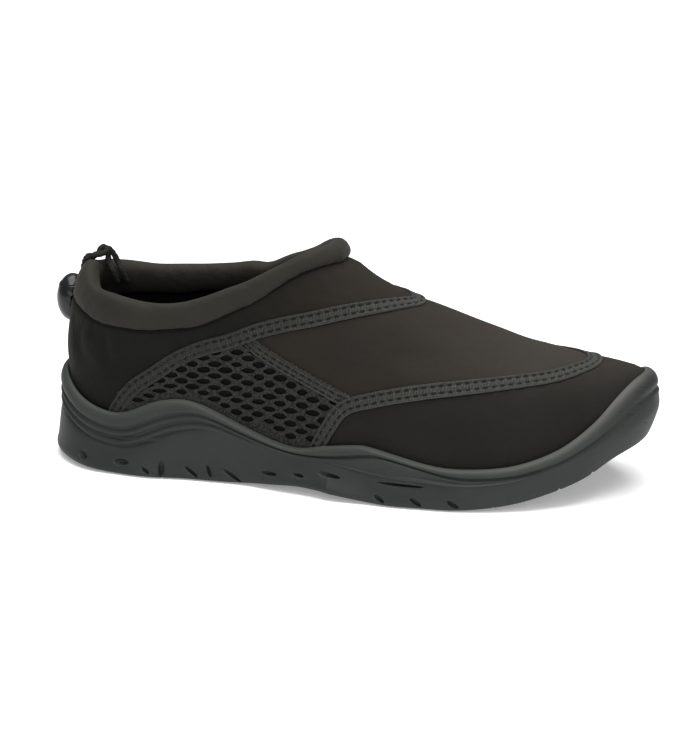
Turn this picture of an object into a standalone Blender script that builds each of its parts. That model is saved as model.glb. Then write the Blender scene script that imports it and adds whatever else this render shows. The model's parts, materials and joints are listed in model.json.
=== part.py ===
"""Water shoe for the right foot: neoprene upper with mesh sides in a cupped rubber sole.

The toe points along +X, the little-toe side (lateral) lies at -Y and the big-toe side (medial) at +Y.
The origin is on the ground under the heel. Sizes are in metres.
"""
import math

import bmesh
import bpy
import numpy as np
from mathutils import Matrix, Vector

# Driving sizes of the shoe.
LENGTH = 0.269
BALL_WIDTH = 0.098
INSTEP_HEIGHT = 0.095
COLLAR_HEIGHT = 0.066
HEEL_REST = 0.045

# Sizes of the sole.
SOLE_WALL = 0.0036
HEEL_THICKNESS = 0.013
BALL_THICKNESS = 0.010
# Between these shares of the length the sole thins from heel to ball.
THINNING = (.35, .65)
TOE_SPRING = 0.020
RIM_HEIGHT = 0.041
RIB_PITCH = 0.0040
GROOVE_DEPTH = 0.0012
BEVEL_HEIGHT = 0.0060
BEVEL_DEPTH = 0.0050
LUG_DEPTH = 0.0028
LUG_GROOVE = 0.0034
LUG_PITCH = 0.0135
LUG_SLANT = 24
# Half width of the plain strip along the tread, the shares with lugs and the plain shares of the arch.
LUG_STRIP = 0.010
LUG_SHARES = (.06, .95)
ARCH_SHARES = (.44, .52)

# Sizes of the upper, the roll round its collar and what is sewn on it.
UPPER_WALL = 0.0028
ROLL_HEIGHT = 0.0140
ROLL_THICKNESS = 0.0095
TAPE_WIDTH = 0.0066
TAPE_THICKNESS = 0.0013
TAPE_CHAMFER = 0.0004
TAPE_STEP = 0.0065
NET_THICKNESS = 0.0009
INSOLE_THICKNESS = 0.0030
INSOLE_BEVEL = 0.0010
# The roll's section is squarer than an oval by this exponent, and it stands this much more upright
# than the wall under it.
ROLL_SQUARENESS = 0.86
ROLL_UPRIGHT = 0.5

# Sizes of the pull cord and its lock at the heel.
CORD_RADIUS = 0.0013
LOCK_HEIGHT = 0.0218
LOCK_WIDTH = 0.0170
LOCK_DEPTH = 0.0140
# The button is what is above this share of the lock's half height, and the lock's middle lies this
# far from the collar's seam at the heel.
LOCK_CUT = 0.62
LOCK_OFFSET = (-0.0020, 0.0045, -0.0024)

# Curved pieces lie this far apart, the upper and the sole's cup a little more.
GAP = 0.0003
CUP_GAP = 0.0006
# A tape stands this far off the upper's own curve, clear of its flat facets.
TAPE_GAP = 0.00048
# Cutters reach this far past what they cut: above the upper, below it, and round the sole.
ROOM_ABOVE = 0.005
ROOM_BELOW = 0.001
BLOCK_CLEAR = 0.012
LUG_CLEAR = 0.004

# How finely the curved pieces are divided.
STATIONS = 72
UPPER_LEVELS = 13
LINING_LEVELS = 8
LINING_GATHER = 1.3
ROLL_SIDES = 8
TRACE = 240
# The stations are shifted, in radians, from the ends of the shoe towards its sides, and a direction on
# the last is read over this many radians to either side.
# The medial side's own collar height sets in over this sine of the angle from the heel or throat.
MEDIAL_BLEND = 0.6
STATION_SHIFT = 0.12
STATION_NUDGE = 0.015

# The last from heel to toe: half widths are shares of BALL_WIDTH, the ridge's height over the sole's
# floor of INSTEP_HEIGHT. Behind the throat the ridge is where the leg would go on, above the collar.
# The two exponents shape each arch: top where it crosses the ridge, side where it meets the sole.
LAST = {
    "share":   (0, .003, .03, .08, .16, .26, .36, .46, .55,
                .63, .71, .79, .86, .92, .965, .985, .997, 1),
    "lateral": (0, .070, .205, .280, .312, .312, .322, .357, .408,
                .446, .449, .398, .312, .202, .090, .020, -.046, -.10),
    "medial":  (0, .070, .205, .280, .312, .304, .288, .286, .316,
                .368, .418, .438, .418, .370, .285, .222, .155, .10),
    "crest":   (0, 0, 0, 0, 0, 0, 0, 0, .02, .04, .06, .08, .09, .10, .10, .10, .10, .10),
    "ridge":   (0, .61, .94, 1.21, 1.38, 1.36, 1.18, .90, .762,
                .693, .61, .516, .422, .336, .263, .215, .13, 0),
    "top":     (2, 2, 2, 2, 2, 2, 2.1, 2.2, 2.2, 2.2, 2.2, 2.4, 2.5, 2.4, 2.3, 2.2, 2, 2),
    "side":    (2.2, 2.2, 2.2, 2.2, 2.2, 2.2, 2.1, 1.95, 1.85, 1.8, 1.9, 2.1, 2.3, 2.4, 2.3, 2.2, 2, 2),
}
# Ground side of the sole: heights as shares of TOE_SPRING, rounding of its edge of BEVEL_DEPTH.
TREAD = {
    "share":  (0, .03, .08, .14, .34, .40, .46, .53, .60, .72, .79, .86, .92, .965, 1),
    "height": (.16, .10, .03, 0, 0, .10, .16, .08, 0, 0, .09, .30, .60, .84, 1.05),
    "bevel":  (1.1, .95, .70, .55, .50, .50, .50, .45, .40, .40, .45, .60, .80, .95, 1.0),
}
# Upper edge of the sole's cup: heights as shares of RIM_HEIGHT.
RIM = {
    "share":  (0, .02, .048, .075, .108, .135, .162, .19, .216, .25, .295, .335, .375, .41, .44, .493,
               .559, .60, .643, .685, .725, .77, .804, .84, .878, .914, .946, .974, 1),
    "height": (.976, .854, .722, .659, .617, .634, .72, .788, .82, .82, .72, .61, .517, .451, .439, .50,
               .549, .537, .454, .42, .415, .429, .454, .512, .624, .79, 1.01, 1.16, 1.19),
}
# Wall of the cup from its inner lip down: drop in shares of RIB_PITCH, thickness of SOLE_WALL,
# groove of GROOVE_DEPTH, each of the lower two grooves fading forward from the heel.
SIDE = {
    "drop":      (0, -.14, .06, .60, 1.30, 1.62, 1.95, 2.30, 2.62, 2.95, 3.30, 3.62, 3.95),
    "thickness": (0, .34, .70, 1, 1, 1, 1, 1, 1, 1, 1, 1, 1),
    "groove":    (0, 0, 0, 0, 0, 1, 0, 0, 1, 0, 0, 1, 0),
    "reach":     (1, 1, 1, 1, 1, 1, 1, 1, .42, 1, 1, .34, 1),
}
# The lowest row of the wall lies this many pitches below the lip, and a groove fades out over this
# share of the length.
SIDE_REACH = 4.35
GROOVE_FADE = 0.10
# Rounding of the sole's lower edge: height in shares of BEVEL_HEIGHT, inset of the bevel.
SOLE_EDGE = {
    "height": (0, .30, 1),
    "inset":  (1, .40, 0),
}
# Collar line from heel to throat: height of the seam as shares of COLLAR_HEIGHT and how much higher
# the medial side runs, then the roll's height as shares of ROLL_HEIGHT, how far it is set inwards as
# shares of ROLL_THICKNESS and how much it leans in.
COLLAR = {
    "share": (0, .03, .07, .12, .17, .21, .26, .29, .32, .355, .395, .43, .46, .50, .55),
    "seam":  (1.06, 1.02, .97, .957, .95, .97, 1.01, 1.065, 1.127, 1.20, 1.31, 1.39, 1.43, 1.44, 1.44),
    "medial": (0, .03, .06, .065, .075, .083, .074, .044, .018, -.04, -.065, -.065, -.045, 0, 0),
    "roll":  (1.35, 1.33, 1.28, 1.22, 1.13, 1.0, .90, .82, .76, .69, .61, .585, .63, .68, .66),
    "inset": (.40, .40, .40, .40, .40, .40, .39, .38, .37, .35, .32, .29, .26, .24, .24),
    "lean":  (.35, .33, .24, .14, .10, .06, .03, 0, 0, 0, 0, 0, 0, 0, 0),
}
# Paths of the sewn tapes up the lateral side, by share of length and girth; the medial side mirrors them.
QUARTER_TAPE = {
    "share": (.095, .118, .145, .18, .22, .27, .31, .365, .417, .467, .513, .561, .598, .612),
    "girth": (-.995, -.935, -.895, -.865, -.828, -.787, -.755, -.686, -.60, -.49, -.365, -.22, -.08, 0),
}
TOE_TAPE = {
    "share": (.462, .477, .489, .507, .527, .563, .603, .643, .683, .721, .758, .798, .834, .868,
              .897, .905),
    "girth": (-.998, -.933, -.87, -.80, -.745, -.692, -.632, -.579, -.538, -.495, -.452, -.398, -.341, -.251,
              -.10, 0),
}
NET_TAPE = {
    "share": (.330, .349, .37, .40, .43, .46, .49, .521),
    "girth": (-.730, -.753, -.759, -.763, -.763, -.763, -.763, -.760),
}
# The net panel's ends along the length, at the sole and under the tapes above it.
NET = {
    "foot": (.100, .466),
    "top": (.110, .520),
}
# The net starts this far down the girth, well inside the sole's cup.
NET_FOOT_GIRTH = 0.99

# The pull cord leaves the lock and climbs the roll at these angles, then arches over to its landing:
# parts of the way with the lift above the straight line, then angles down the roll's inner side with
# the distance off it.
CORD_CLIMB = (4, 28, 52, 74)
CORD_ARCH = {
    "part": (.22, .50, .80),
    "lift": (.0027, .0052, .0042),
}
CORD_LANDING = {
    "angle": (120, 144, 167, 174),
    "off":   (.0048, .0060, .0047, .0009),
}
# Where the cord climbs and lands, as shares of the way round the collar from the heel, how far its
# middle stays off the roll, half of the space between its strands, and the angles round the roll
# between which it leaps.
CORD_START = 0.042
CORD_REACH = 0.094
CORD_CLEAR = 0.0021
CORD_SPREAD = 0.0008
CORD_CROWN, CORD_LEAP = 90, 110

# Shares of the length at which heel and ball are fullest in plan.
FULL_HEEL = 0.14
FULL_BALL_LATERAL = 0.64
FULL_BALL_MEDIAL = 0.72
# Between these shares the lines up the last turn from climbing the side to running over the vamp.
FULL_WAIST = 0.50
FULL_TOE = 0.93


def angle_of(share):
    """Angle round the plan whose cosine gives the share of the length: 0 at the toe, pi at the heel."""
    return np.arccos(np.clip(2 * np.asarray(share, float) - 1, -1, 1))


def curve(knots, values, wanted):
    """Smooth curve through values at rising knots, read at the wanted places."""
    steps = np.diff(knots)
    rises = np.diff(values) / steps
    slopes = np.concatenate([rises[:1], (rises[:-1] * steps[1:] + rises[1:] * steps[:-1])
                             / (steps[1:] + steps[:-1]), rises[-1:]])
    wanted = np.clip(wanted, knots[0], knots[-1])
    row = np.clip(np.searchsorted(knots, wanted) - 1, 0, len(steps) - 1)
    step = steps[row]
    t = (wanted - knots[row]) / step
    return ((2 * t**3 - 3 * t**2 + 1) * values[row] + (t**3 - 2 * t**2 + t) * step * slopes[row]
            + (3 * t**2 - 2 * t**3) * values[row + 1] + (t**3 - t**2) * step * slopes[row + 1])


def smooth(table, column, share):
    """Smooth curve along a table's column, in even steps of share."""
    return curve(np.array(table["share"], float), np.array(table[column], float), np.asarray(share, float))


def rounded(table, column, share):
    """Smooth curve along a table's column that closes round at the heel and the toe."""
    knots = angle_of(table["share"])[::-1]
    return curve(knots, np.array(table[column], float)[::-1], angle_of(share))


def last_x(share):
    """Place along the shoe of a share of the last's length."""
    return SOLE_WALL + CUP_GAP - HEEL_REST + share * (LENGTH - 2 * (SOLE_WALL + CUP_GAP))


def last_share(x):
    """Share of the last's length of a place along the shoe."""
    return np.clip((x + HEEL_REST - SOLE_WALL - CUP_GAP) / (LENGTH - 2 * (SOLE_WALL + CUP_GAP)), 0, 1)


def tread_height(share):
    """Height of the sole's ground side along its middle."""
    return np.maximum(rounded(TREAD, "height", share), 0) * TOE_SPRING


def bed_height(share):
    """Top of the sole's floor inside the cup, thinner from the arch forward."""
    forward = np.clip((share - THINNING[0]) / (THINNING[1] - THINNING[0]), 0, 1)
    return tread_height(share) + HEEL_THICKNESS + (BALL_THICKNESS - HEEL_THICKNESS) * forward


def rim_height(share):
    """Height of the cup's upper edge."""
    return rounded(RIM, "height", share) * RIM_HEIGHT


def seam_height(share):
    """Height of the collar line, where the roll is sewn on."""
    return smooth(COLLAR, "seam", share) * COLLAR_HEIGHT


def crest_y(share):
    """Place across the shoe of the last's ridge."""
    return rounded(LAST, "crest", share) * BALL_WIDTH


def edge_y(share, side):
    """Edge of the last in plan, side -1 for lateral and 1 for medial."""
    return np.where(side < 0, -rounded(LAST, "lateral", share), rounded(LAST, "medial", share)) * BALL_WIDTH


def ridge_height(share):
    """Height of the last's ridge."""
    return bed_height(share) + rounded(LAST, "ridge", share) * INSTEP_HEIGHT


def section_point(share, across, side):
    """Point of the last's surface: across is 1 at the feather line and 0 on the ridge."""
    low = bed_height(share)
    arch = np.clip(1 - np.clip(across, 0, 1)**rounded(LAST, "top", share), 0, 1)
    rise = arch**(1 / rounded(LAST, "side", share))
    y = crest_y(share) + (edge_y(share, side) - crest_y(share)) * across
    return np.stack([last_x(share), y, low + (ridge_height(share) - low) * rise], axis=-1)


def surface(share, girth):
    """Point of the last by share of length and girth: -1 lateral feather, 0 ridge, 1 medial feather."""
    turn = (1 - np.abs(girth)) * math.pi / 2
    return section_point(share, np.cos(turn)**(2 / rounded(LAST, "top", share)), np.where(girth < 0, -1, 1))


def unit(vectors):
    """Vectors of length one in the same directions."""
    return vectors / np.maximum(np.linalg.norm(vectors, axis=-1, keepdims=True), 1e-12)


def collar_ends():
    """Shares of length where the collar line crosses the ridge, at the heel and at the throat."""
    shares = np.linspace(0, 0.7, 7001)
    spare = ridge_height(shares) - seam_height(shares)
    crossings = np.nonzero(np.diff(np.sign(spare)))[0][:2]
    return [shares[k] + spare[k] * (shares[k + 1] - shares[k]) / (spare[k] - spare[k + 1])
            for k in crossings]


def collar_place(theta):
    """Share of length and share across the section at which each line up the last meets the collar."""
    heel, throat = collar_ends()
    share = heel + (throat - heel) * (1 + np.cos(theta)) / 2
    low = bed_height(share)
    medial = np.clip(np.sin(theta) / MEDIAL_BLEND, 0, 1)
    seam = seam_height(share) + smooth(COLLAR, "medial", share) * medial * COLLAR_HEIGHT
    rise = np.clip((seam - low) / (ridge_height(share) - low), 0, 1)
    return share, (1 - rise**rounded(LAST, "side", share))**(1 / rounded(LAST, "top", share))


def full_width(share, side):
    """Width from the ridge to the edge in plan, with the hollow of the waist bridged."""
    ball = np.where(side < 0, FULL_BALL_LATERAL, FULL_BALL_MEDIAL)
    width, heel_width, ball_width = (np.abs(edge_y(place, side) - crest_y(place))
                                     for place in (share, FULL_HEEL, ball))
    bridge = heel_width + (ball_width - heel_width) * (share - FULL_HEEL) / (ball - FULL_HEEL)
    return np.where((share > FULL_HEEL) & (share < ball), np.maximum(width, bridge), width)


def lengths_along(lines):
    """Length from the start of each line to each of its points."""
    steps = np.linalg.norm(np.diff(lines, axis=1), axis=-1)
    return np.concatenate([np.zeros((len(lines), 1)), np.cumsum(steps, axis=1)], axis=1)


def evened(share, across, side):
    """The same lines over the last, with their points spaced evenly along them."""
    along = lengths_along(section_point(share, across, side))
    even = np.linspace(0, 1, share.shape[1])
    return [np.array([np.interp(even * run[-1], run, row) for run, row in zip(along, values)])
            for values in (share, across)]


def meridians(theta):
    """Lines up the last from the feather line to the collar, one for each angle round the plan.

    From heel to waist they climb the side walls evenly. Round the toe they run straight in plan
    towards the throat, and between the two kinds one turns into the other.
    """
    side = np.where(np.sin(theta) < 0, -1, 1)[:, None]
    foot = ((1 + np.cos(theta)) / 2)[:, None]
    goal, across = (values[:, None] for values in collar_place(theta))
    even = np.linspace(0, 1, TRACE)[None]
    share = foot + (goal - foot) * even
    turn = np.arccos(np.clip(across, 0, 1)**(rounded(LAST, "top", goal) / 2)) * even
    climbing = evened(share, np.cos(turn)**(2 / rounded(LAST, "top", share)), side)
    share = foot + (goal - foot) * even**3
    start = full_width(foot, side)
    width = start + (across * full_width(goal, side) - start) * even**3
    straight = evened(share, np.clip(width / np.maximum(full_width(share, side), 1e-9), 0, 1), side)
    blend = np.clip((foot - FULL_WAIST) / (FULL_TOE - FULL_WAIST), 0, 1)
    blend = blend**2 * (3 - 2 * blend)
    share, across = (first + (second - first) * blend for first, second in zip(climbing, straight))
    across = np.where((np.abs(np.sin(theta)) < 1e-9)[:, None], 0, across)
    return section_point(share, across, side)


def at_length(lines, wanted):
    """Points of each line at the wanted lengths along it, one row of lengths for each line."""
    along = lengths_along(lines)
    return np.array([[np.interp(row, run, line[:, axis]) for axis in range(3)]
                     for line, run, row in zip(lines, along, wanted)]).transpose(0, 2, 1)


class Last:
    """The last's surface sampled on one line up from the feather for each station round the plan."""

    def __init__(self, count=STATIONS):
        turn = np.arange(count) * 2 * math.pi / count
        self.theta = turn + STATION_SHIFT * np.sin(2 * turn)
        nudge = STATION_NUDGE
        self.lines = meridians(self.theta)
        self.before = meridians(self.theta - nudge)
        self.after = meridians(self.theta + nudge)
        self.total = lengths_along(self.lines)[:, -1]

    def frame(self, length):
        """Point, outward normal and upward direction at a length above the feather for each station."""
        share = (length / self.total)[:, None]
        step = 0.004
        along = [np.clip(share + nudge, 0, 1) * self.total[:, None] for nudge in (-step, 0, step)]
        low, point, high = (at_length(self.lines, row)[:, 0] for row in along)
        sides = []
        for lines in (self.before, self.after):
            sides.append(at_length(lines, share * lengths_along(lines)[:, -1:])[:, 0])
        up = unit(high - low)
        return point, unit(np.cross(sides[1] - sides[0], up)), up

    def offset(self, length, out):
        """Points off the surface; lengths below zero go straight down from the feather line."""
        point, normal, _ = self.frame(np.maximum(length, 0))
        point = point + normal * np.reshape(out, (-1, 1))
        point[:, 2] += np.minimum(length, 0)
        return point

    def rim_length(self):
        """Length above the feather at which each line reaches the edge of the sole's cup."""
        above = self.lines[..., 2] >= rim_height(last_share(self.lines[..., 0]))
        above[:, -1] = True
        return lengths_along(self.lines)[np.arange(len(self.lines)), np.argmax(above, axis=1)]


def ladder(first, count, flipped):
    """Faces across a ring from its lateral to its medial side, from the toe at station 0 to the heel."""
    half = count // 2
    faces = [(first, first + 1, first + count - 1)]
    for k in range(1, half - 1):
        faces.append((first + k, first + k + 1, first + count - k - 1, first + count - k))
    faces.append((first + half - 1, first + half, first + half + 1))
    return [face[::-1] for face in faces] if flipped else faces


def rings(rows, capped):
    """Vertices and faces of a skin over rings of points, its two ends capped or joined to each other."""
    count = len(rows[0])
    verts = [tuple(point) for row in rows for point in row]
    faces = []
    for row in range(len(rows) - 1 if capped else len(rows)):
        low, high = row * count, (row + 1) % len(rows) * count
        for k in range(count):
            after = (k + 1) % count
            faces.append((low + k, low + after, high + after, high + k))
    if capped:
        faces += ladder(0, count, True) + ladder((len(rows) - 1) * count, count, False)
    return verts, faces


def add_piece(name, verts, faces, material, collection):
    """Object from points and faces, its faces turned outwards, in the given collection."""
    mesh = bpy.data.meshes.new(name)
    mesh.from_pydata(verts, [], faces)
    shape = bmesh.new()
    shape.from_mesh(mesh)
    bmesh.ops.recalc_face_normals(shape, faces=shape.faces)
    shape.to_mesh(mesh)
    shape.free()
    mesh.shade_smooth()
    mesh.set_sharp_from_angle(angle=math.radians(35))
    if material:
        mesh.materials.append(material)
    obj = bpy.data.objects.new(name, mesh)
    collection.objects.link(obj)
    return obj


def add_material(name, colour, roughness):
    """Plain finish of one colour."""
    material = bpy.data.materials.new(name)
    material.use_nodes = True
    finish = material.node_tree.nodes["Principled BSDF"]
    finish.inputs["Base Color"].default_value = (*colour, 1)
    finish.inputs["Roughness"].default_value = roughness
    finish.inputs["Metallic"].default_value = 0.0
    return material


def cut(obj, cutter):
    """Boolean cut that stays on the object, with its cutter out of the render."""
    modifier = obj.modifiers.new("cut_" + cutter.name, "BOOLEAN")
    modifier.operation = "DIFFERENCE"
    modifier.solver = "EXACT"
    modifier.object = cutter
    cutter.hide_render = True
    cutter.display_type = "WIRE"


def skin_rows(last, out, levels=UPPER_LEVELS, gather=1.0):
    """Rings up the upper from the feather line to the collar, all at one distance off the last."""
    shares = np.linspace(0, 1, levels + 1)**gather
    return [last.offset(np.maximum(share * last.total, 2 * GAP), 0 * last.total + out) for share in shares]


def upper_rows(last):
    """Rings of the shoe's hollow upper, up its outside and down its inside."""
    return skin_rows(last, 0) + skin_rows(last, -UPPER_WALL, LINING_LEVELS, LINING_GATHER)[::-1]


def sole_rows(last):
    """Rings of the sole: up the ribbed wall of its cup, over the lip and down to the floor inside."""
    share = (1 + np.cos(last.theta)) / 2
    foot = bed_height(share) - tread_height(share)
    rim = last.rim_length()
    bevel = rounded(TREAD, "bevel", share) * BEVEL_DEPTH
    wall = SOLE_WALL + CUP_GAP
    rows = [last.offset(height * BEVEL_HEIGHT - foot, wall - inset * bevel)
            for height, inset in zip(*SOLE_EDGE.values())]
    squeeze = np.clip((foot + rim - BEVEL_HEIGHT) / (SIDE_REACH * RIB_PITCH), 0, 1)
    for drop, thickness, groove, reach in reversed(list(zip(*SIDE.values()))):
        fade = np.clip((reach - share) / GROOVE_FADE, 0, 1) if reach < 1 else 1
        out = thickness * SOLE_WALL + CUP_GAP - groove * fade * GROOVE_DEPTH
        rows.append(last.offset(rim - drop * RIB_PITCH * squeeze, 0 * rim + out))
    rows += [last.offset(rim * part, 0 * rim + CUP_GAP) for part in (0.66, 0.33, 0)]
    return rows


def insole_rows(last):
    """Rings of the insole on the sole's floor, its upper edge set in a little."""
    level = np.full(len(last.theta), INSOLE_THICKNESS)
    rows = []
    for height, inset in ((0, 0), (0.7, 0), (1, INSOLE_BEVEL)):
        ring = last.offset(level, 0 * level - UPPER_WALL - 2 * GAP - inset)
        ring[:, 2] = bed_height(last_share(ring[:, 0])) + 1.5 * GAP + height * INSOLE_THICKNESS
        rows.append(ring)
    return rows


class Roll:
    """The padded roll round the collar, as a frame and a size for each station."""

    def __init__(self, last):
        share, _ = collar_place(last.theta)
        seam, outward, up = last.frame(last.total)
        along = unit(np.roll(seam, -1, axis=0) - np.roll(seam, 1, axis=0))
        up = unit(up + np.array([0, 0, ROLL_UPRIGHT]))
        out = unit(np.cross(along, up))
        out = out * np.sign(np.sum(out * outward, axis=1))[:, None]
        lean = smooth(COLLAR, "lean", share)[:, None]
        self.up = unit(up - out * lean)
        self.out = unit(out + up * lean)
        self.half_height = smooth(COLLAR, "roll", share) * ROLL_HEIGHT / 2
        inset = smooth(COLLAR, "inset", share) * ROLL_THICKNESS
        self.centre = seam + self.up * (self.half_height + GAP)[:, None] - self.out * inset[:, None]

    def place(self, angle, off=0.0):
        """Ring of points at an angle round the roll, 0 outwards and a quarter turn upwards."""
        wide, high = (math.copysign(abs(part)**ROLL_SQUARENESS, part)
                      for part in (math.cos(angle), math.sin(angle)))
        return (self.centre + self.out * (ROLL_THICKNESS / 2 + off) * wide
                + self.up * ((self.half_height + off) * high)[:, None])

    def rows(self, off=0.0, count=ROLL_SIDES):
        """Rings of the roll's skin, or of one a little off it."""
        return [self.place((step + 0.5) * 2 * math.pi / count, off) for step in range(count)]


def tape_path(table, mirrored):
    """Even points in share and girth along a tape's table, mirrored over the ridge where it crosses it."""
    share, girth = np.array(table["share"]), np.array(table["girth"])
    if mirrored:
        share = np.concatenate([share, share[-2::-1]])
        girth = np.concatenate([girth, -girth[-2::-1]])
    run = np.concatenate([[0], np.cumsum(np.linalg.norm(np.diff(surface(share, girth), axis=0), axis=1))])
    count = int(round(run[-1] / TAPE_STEP))
    even = np.linspace(0, run[-1], count + 1)
    return [curve(run, values, even) for values in (share, girth)]


def slopes(share, girth):
    """Steps over the surface for a unit step of share and of girth, and the outward normal."""
    step = 0.002
    by_share = (surface(share + step, girth) - surface(share - step, girth)) / (2 * step)
    by_girth = (surface(share, girth + step) - surface(share, girth - step)) / (2 * step)
    normal = unit(np.cross(by_girth, by_share))
    outwards = np.stack([0 * share, surface(share, girth)[..., 1] - crest_y(share),
                         0 * share + 0.02], axis=-1)
    return by_share, by_girth, normal * np.sign(np.sum(normal * outwards, axis=-1))[..., None]


def sideways(share, girth, distance):
    """Share and girth of points moved sideways over the surface from a path."""
    by_share, by_girth, normal = slopes(share, girth)
    along = unit(np.gradient(surface(share, girth), axis=0))
    across = np.cross(normal, along) * distance
    a, b = np.sum(by_share**2, axis=1), np.sum(by_share * by_girth, axis=1)
    c = np.sum(by_girth**2, axis=1)
    p, q = np.sum(by_share * across, axis=1), np.sum(by_girth * across, axis=1)
    return share + (c * p - b * q) / (a * c - b * b), girth + (a * q - b * p) / (a * c - b * b)


def lifted(share, girth, off):
    """Points off the last's surface."""
    return surface(share, girth) + slopes(share, girth)[2] * off


def strip(path, width, low, high, crown=0.0):
    """Skin of a strip along a path over the last, between two heights above its surface."""
    share, girth = path
    rings_along = []
    flat = 0.8
    edge = high - crown
    for across, off in ((-1, low), (1, low), (1, edge), (flat, high), (-flat, high), (-1, edge)):
        rings_along.append(lifted(*sideways(share, girth, across * width / 2), off))
    rows = np.stack(rings_along, axis=1)
    count = rows.shape[1]
    verts = [tuple(point) for row in rows for point in row]
    faces = [tuple(range(count))[::-1], tuple(range((len(rows) - 1) * count, len(rows) * count))]
    for row in range(len(rows) - 1):
        for k in range(count):
            first, after = row * count + k, row * count + (k + 1) % count
            faces.append((first, after, after + count, first + count))
    return verts, faces


def net_patch(side, low, high, columns=18, rows=5):
    """Skin of the net panel between the sole's rim and the middle lines of the tapes round it."""
    part = np.linspace(0, 1, columns + 1)
    foot = NET["foot"][0] + (NET["foot"][1] - NET["foot"][0]) * part
    top = NET["top"][0] + (NET["top"][1] - NET["top"][0]) * part
    quarter = smooth(QUARTER_TAPE, "girth", top)
    net = smooth(NET_TAPE, "girth", np.maximum(top, NET_TAPE["share"][0]))
    reach = np.where(top < NET_TAPE["share"][1], quarter, np.minimum(quarter, net))
    layers = []
    for off in (low, high):
        for row in np.linspace(0, 1, rows + 1):
            share = foot + (top - foot) * row
            girth = (reach + NET_FOOT_GIRTH) * row - NET_FOOT_GIRTH
            layers.append(lifted(share, girth * -side, off))
    grid = np.array(layers)
    verts = [tuple(point) for row in grid for point in row]
    faces = []
    wide, deep = columns + 1, rows + 1
    for layer in (0, 1):
        for row in range(rows):
            for k in range(columns):
                first = (layer * deep + row) * wide + k
                face = (first, first + 1, first + wide + 1, first + wide)
                faces.append(face[::-1] if layer else face)
    rim = [k for k in range(wide)] + [row * wide + columns for row in range(1, deep)]
    rim += [rows * wide + k for k in range(columns - 1, -1, -1)]
    rim += [row * wide for row in range(rows - 1, 0, -1)]
    for first, after in zip(rim, rim[1:] + rim[:1]):
        faces.append((first, after, after + deep * wide, first + deep * wide))
    return verts, faces


def rim_block_rows(last):
    """Rings of a block round the shoe that ends just above the lip of the sole's cup."""
    top = last.rim_length() + GAP - SIDE["drop"][1] * RIB_PITCH
    inside, outside = 0 * top - UPPER_WALL / 2, 0 * top + BLOCK_CLEAR
    return [last.offset(top, inside), last.offset(top, outside),
            last.offset(0 * top - BLOCK_CLEAR, outside), last.offset(0 * top - BLOCK_CLEAR, inside)]


def lug_grooves(collection):
    """Cutter for the tread: slanted grooves on both sides of a plain strip along the middle."""
    mesh = bpy.data.meshes.new("lug_grooves")
    shape = bmesh.new()
    first, last = LUG_SHARES
    reach = LUG_STRIP + BALL_WIDTH / 2
    size = Matrix.Diagonal((LUG_GROOVE, BALL_WIDTH, LUG_DEPTH + LUG_CLEAR, 1))
    step = LUG_PITCH / LENGTH
    for share in np.arange(first, last, step):
        if ARCH_SHARES[0] < share < ARCH_SHARES[1]:
            continue
        before, middle, after = (Vector((last_x(at), crest_y(at), tread_height(at)))
                                 for at in (share - step, share, share + step))
        run = after - before
        for side in (-1, 1):
            place = Matrix.Translation(middle) @ Matrix.Rotation(-math.atan2(run.z, run.x), 4, "Y")
            place = place @ Matrix.Rotation(-side * math.radians(LUG_SLANT), 4, "Z")
            place = place @ Matrix.Translation((0, side * reach, (LUG_DEPTH - LUG_CLEAR) / 2))
            bmesh.ops.create_cube(shape, size=1.0, matrix=place @ size)
    shape.to_mesh(mesh)
    shape.free()
    obj = bpy.data.objects.new("lug_grooves", mesh)
    collection.objects.link(obj)
    return obj


def form_rows(last, roll):
    """Rings of the closed outer form of the upper, grown by the gap, up to the middle of the roll."""
    return skin_rows(last, GAP) + [roll.centre]


def cord_route(last, roll, side):
    """One strand of the pull cord, side by side with the other, over the roll in a loop."""
    heel = len(last.theta) // 2
    start, landing = (heel - round(share * len(last.theta)) for share in (CORD_START, CORD_REACH))
    apart = side * (CORD_RADIUS + CORD_SPREAD)
    along = unit(np.roll(roll.centre, 1, axis=0) - np.roll(roll.centre, -1, axis=0)) * [1, 1, 0]
    back, inner = unit(along[start]), unit(-along[landing])
    over = unit(np.cross([0, 0, 1], roll.centre[landing] - roll.centre[start]))
    points = []
    shift = back * apart * np.sign(np.dot(back, over))
    for angle in CORD_CLIMB:
        points.append(roll.place(math.radians(angle), CORD_CLEAR)[start] + shift)
    crown = roll.place(math.radians(CORD_CROWN), CORD_CLEAR)[start]
    leap = roll.place(math.radians(CORD_LEAP), CORD_CLEAR)[landing] - crown
    for part, lift in zip(*CORD_ARCH.values()):
        points.append(crown + leap * part + np.array([0, 0, lift]) + over * apart)
    shift = inner * apart * np.sign(np.dot(inner, over))
    for angle, off in zip(*CORD_LANDING.values()):
        points.append(roll.place(math.radians(angle), off)[landing] + shift)
    return np.array(points)


def add_cord(name, points, material, collection):
    """Round cord through the points, as a smooth line cut into short straight steps."""
    steps = np.concatenate([[0], np.cumsum(np.linalg.norm(np.diff(points, axis=0), axis=1))])
    count = int(steps[-1] / (2.6 * CORD_RADIUS))
    even = np.linspace(0, steps[-1], count + 1)
    fine = np.stack([curve(steps, values, even) for values in points.T], axis=1)
    line = bpy.data.curves.new(name, "CURVE")
    line.dimensions = "3D"
    line.bevel_depth = CORD_RADIUS
    line.bevel_resolution = 2
    line.use_fill_caps = True
    spline = line.splines.new("POLY")
    spline.points.add(len(fine) - 1)
    for point, place in zip(spline.points, fine):
        point.co = (*place, 1)
    line.materials.append(material)
    obj = bpy.data.objects.new(name, line)
    collection.objects.link(obj)
    return obj


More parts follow.
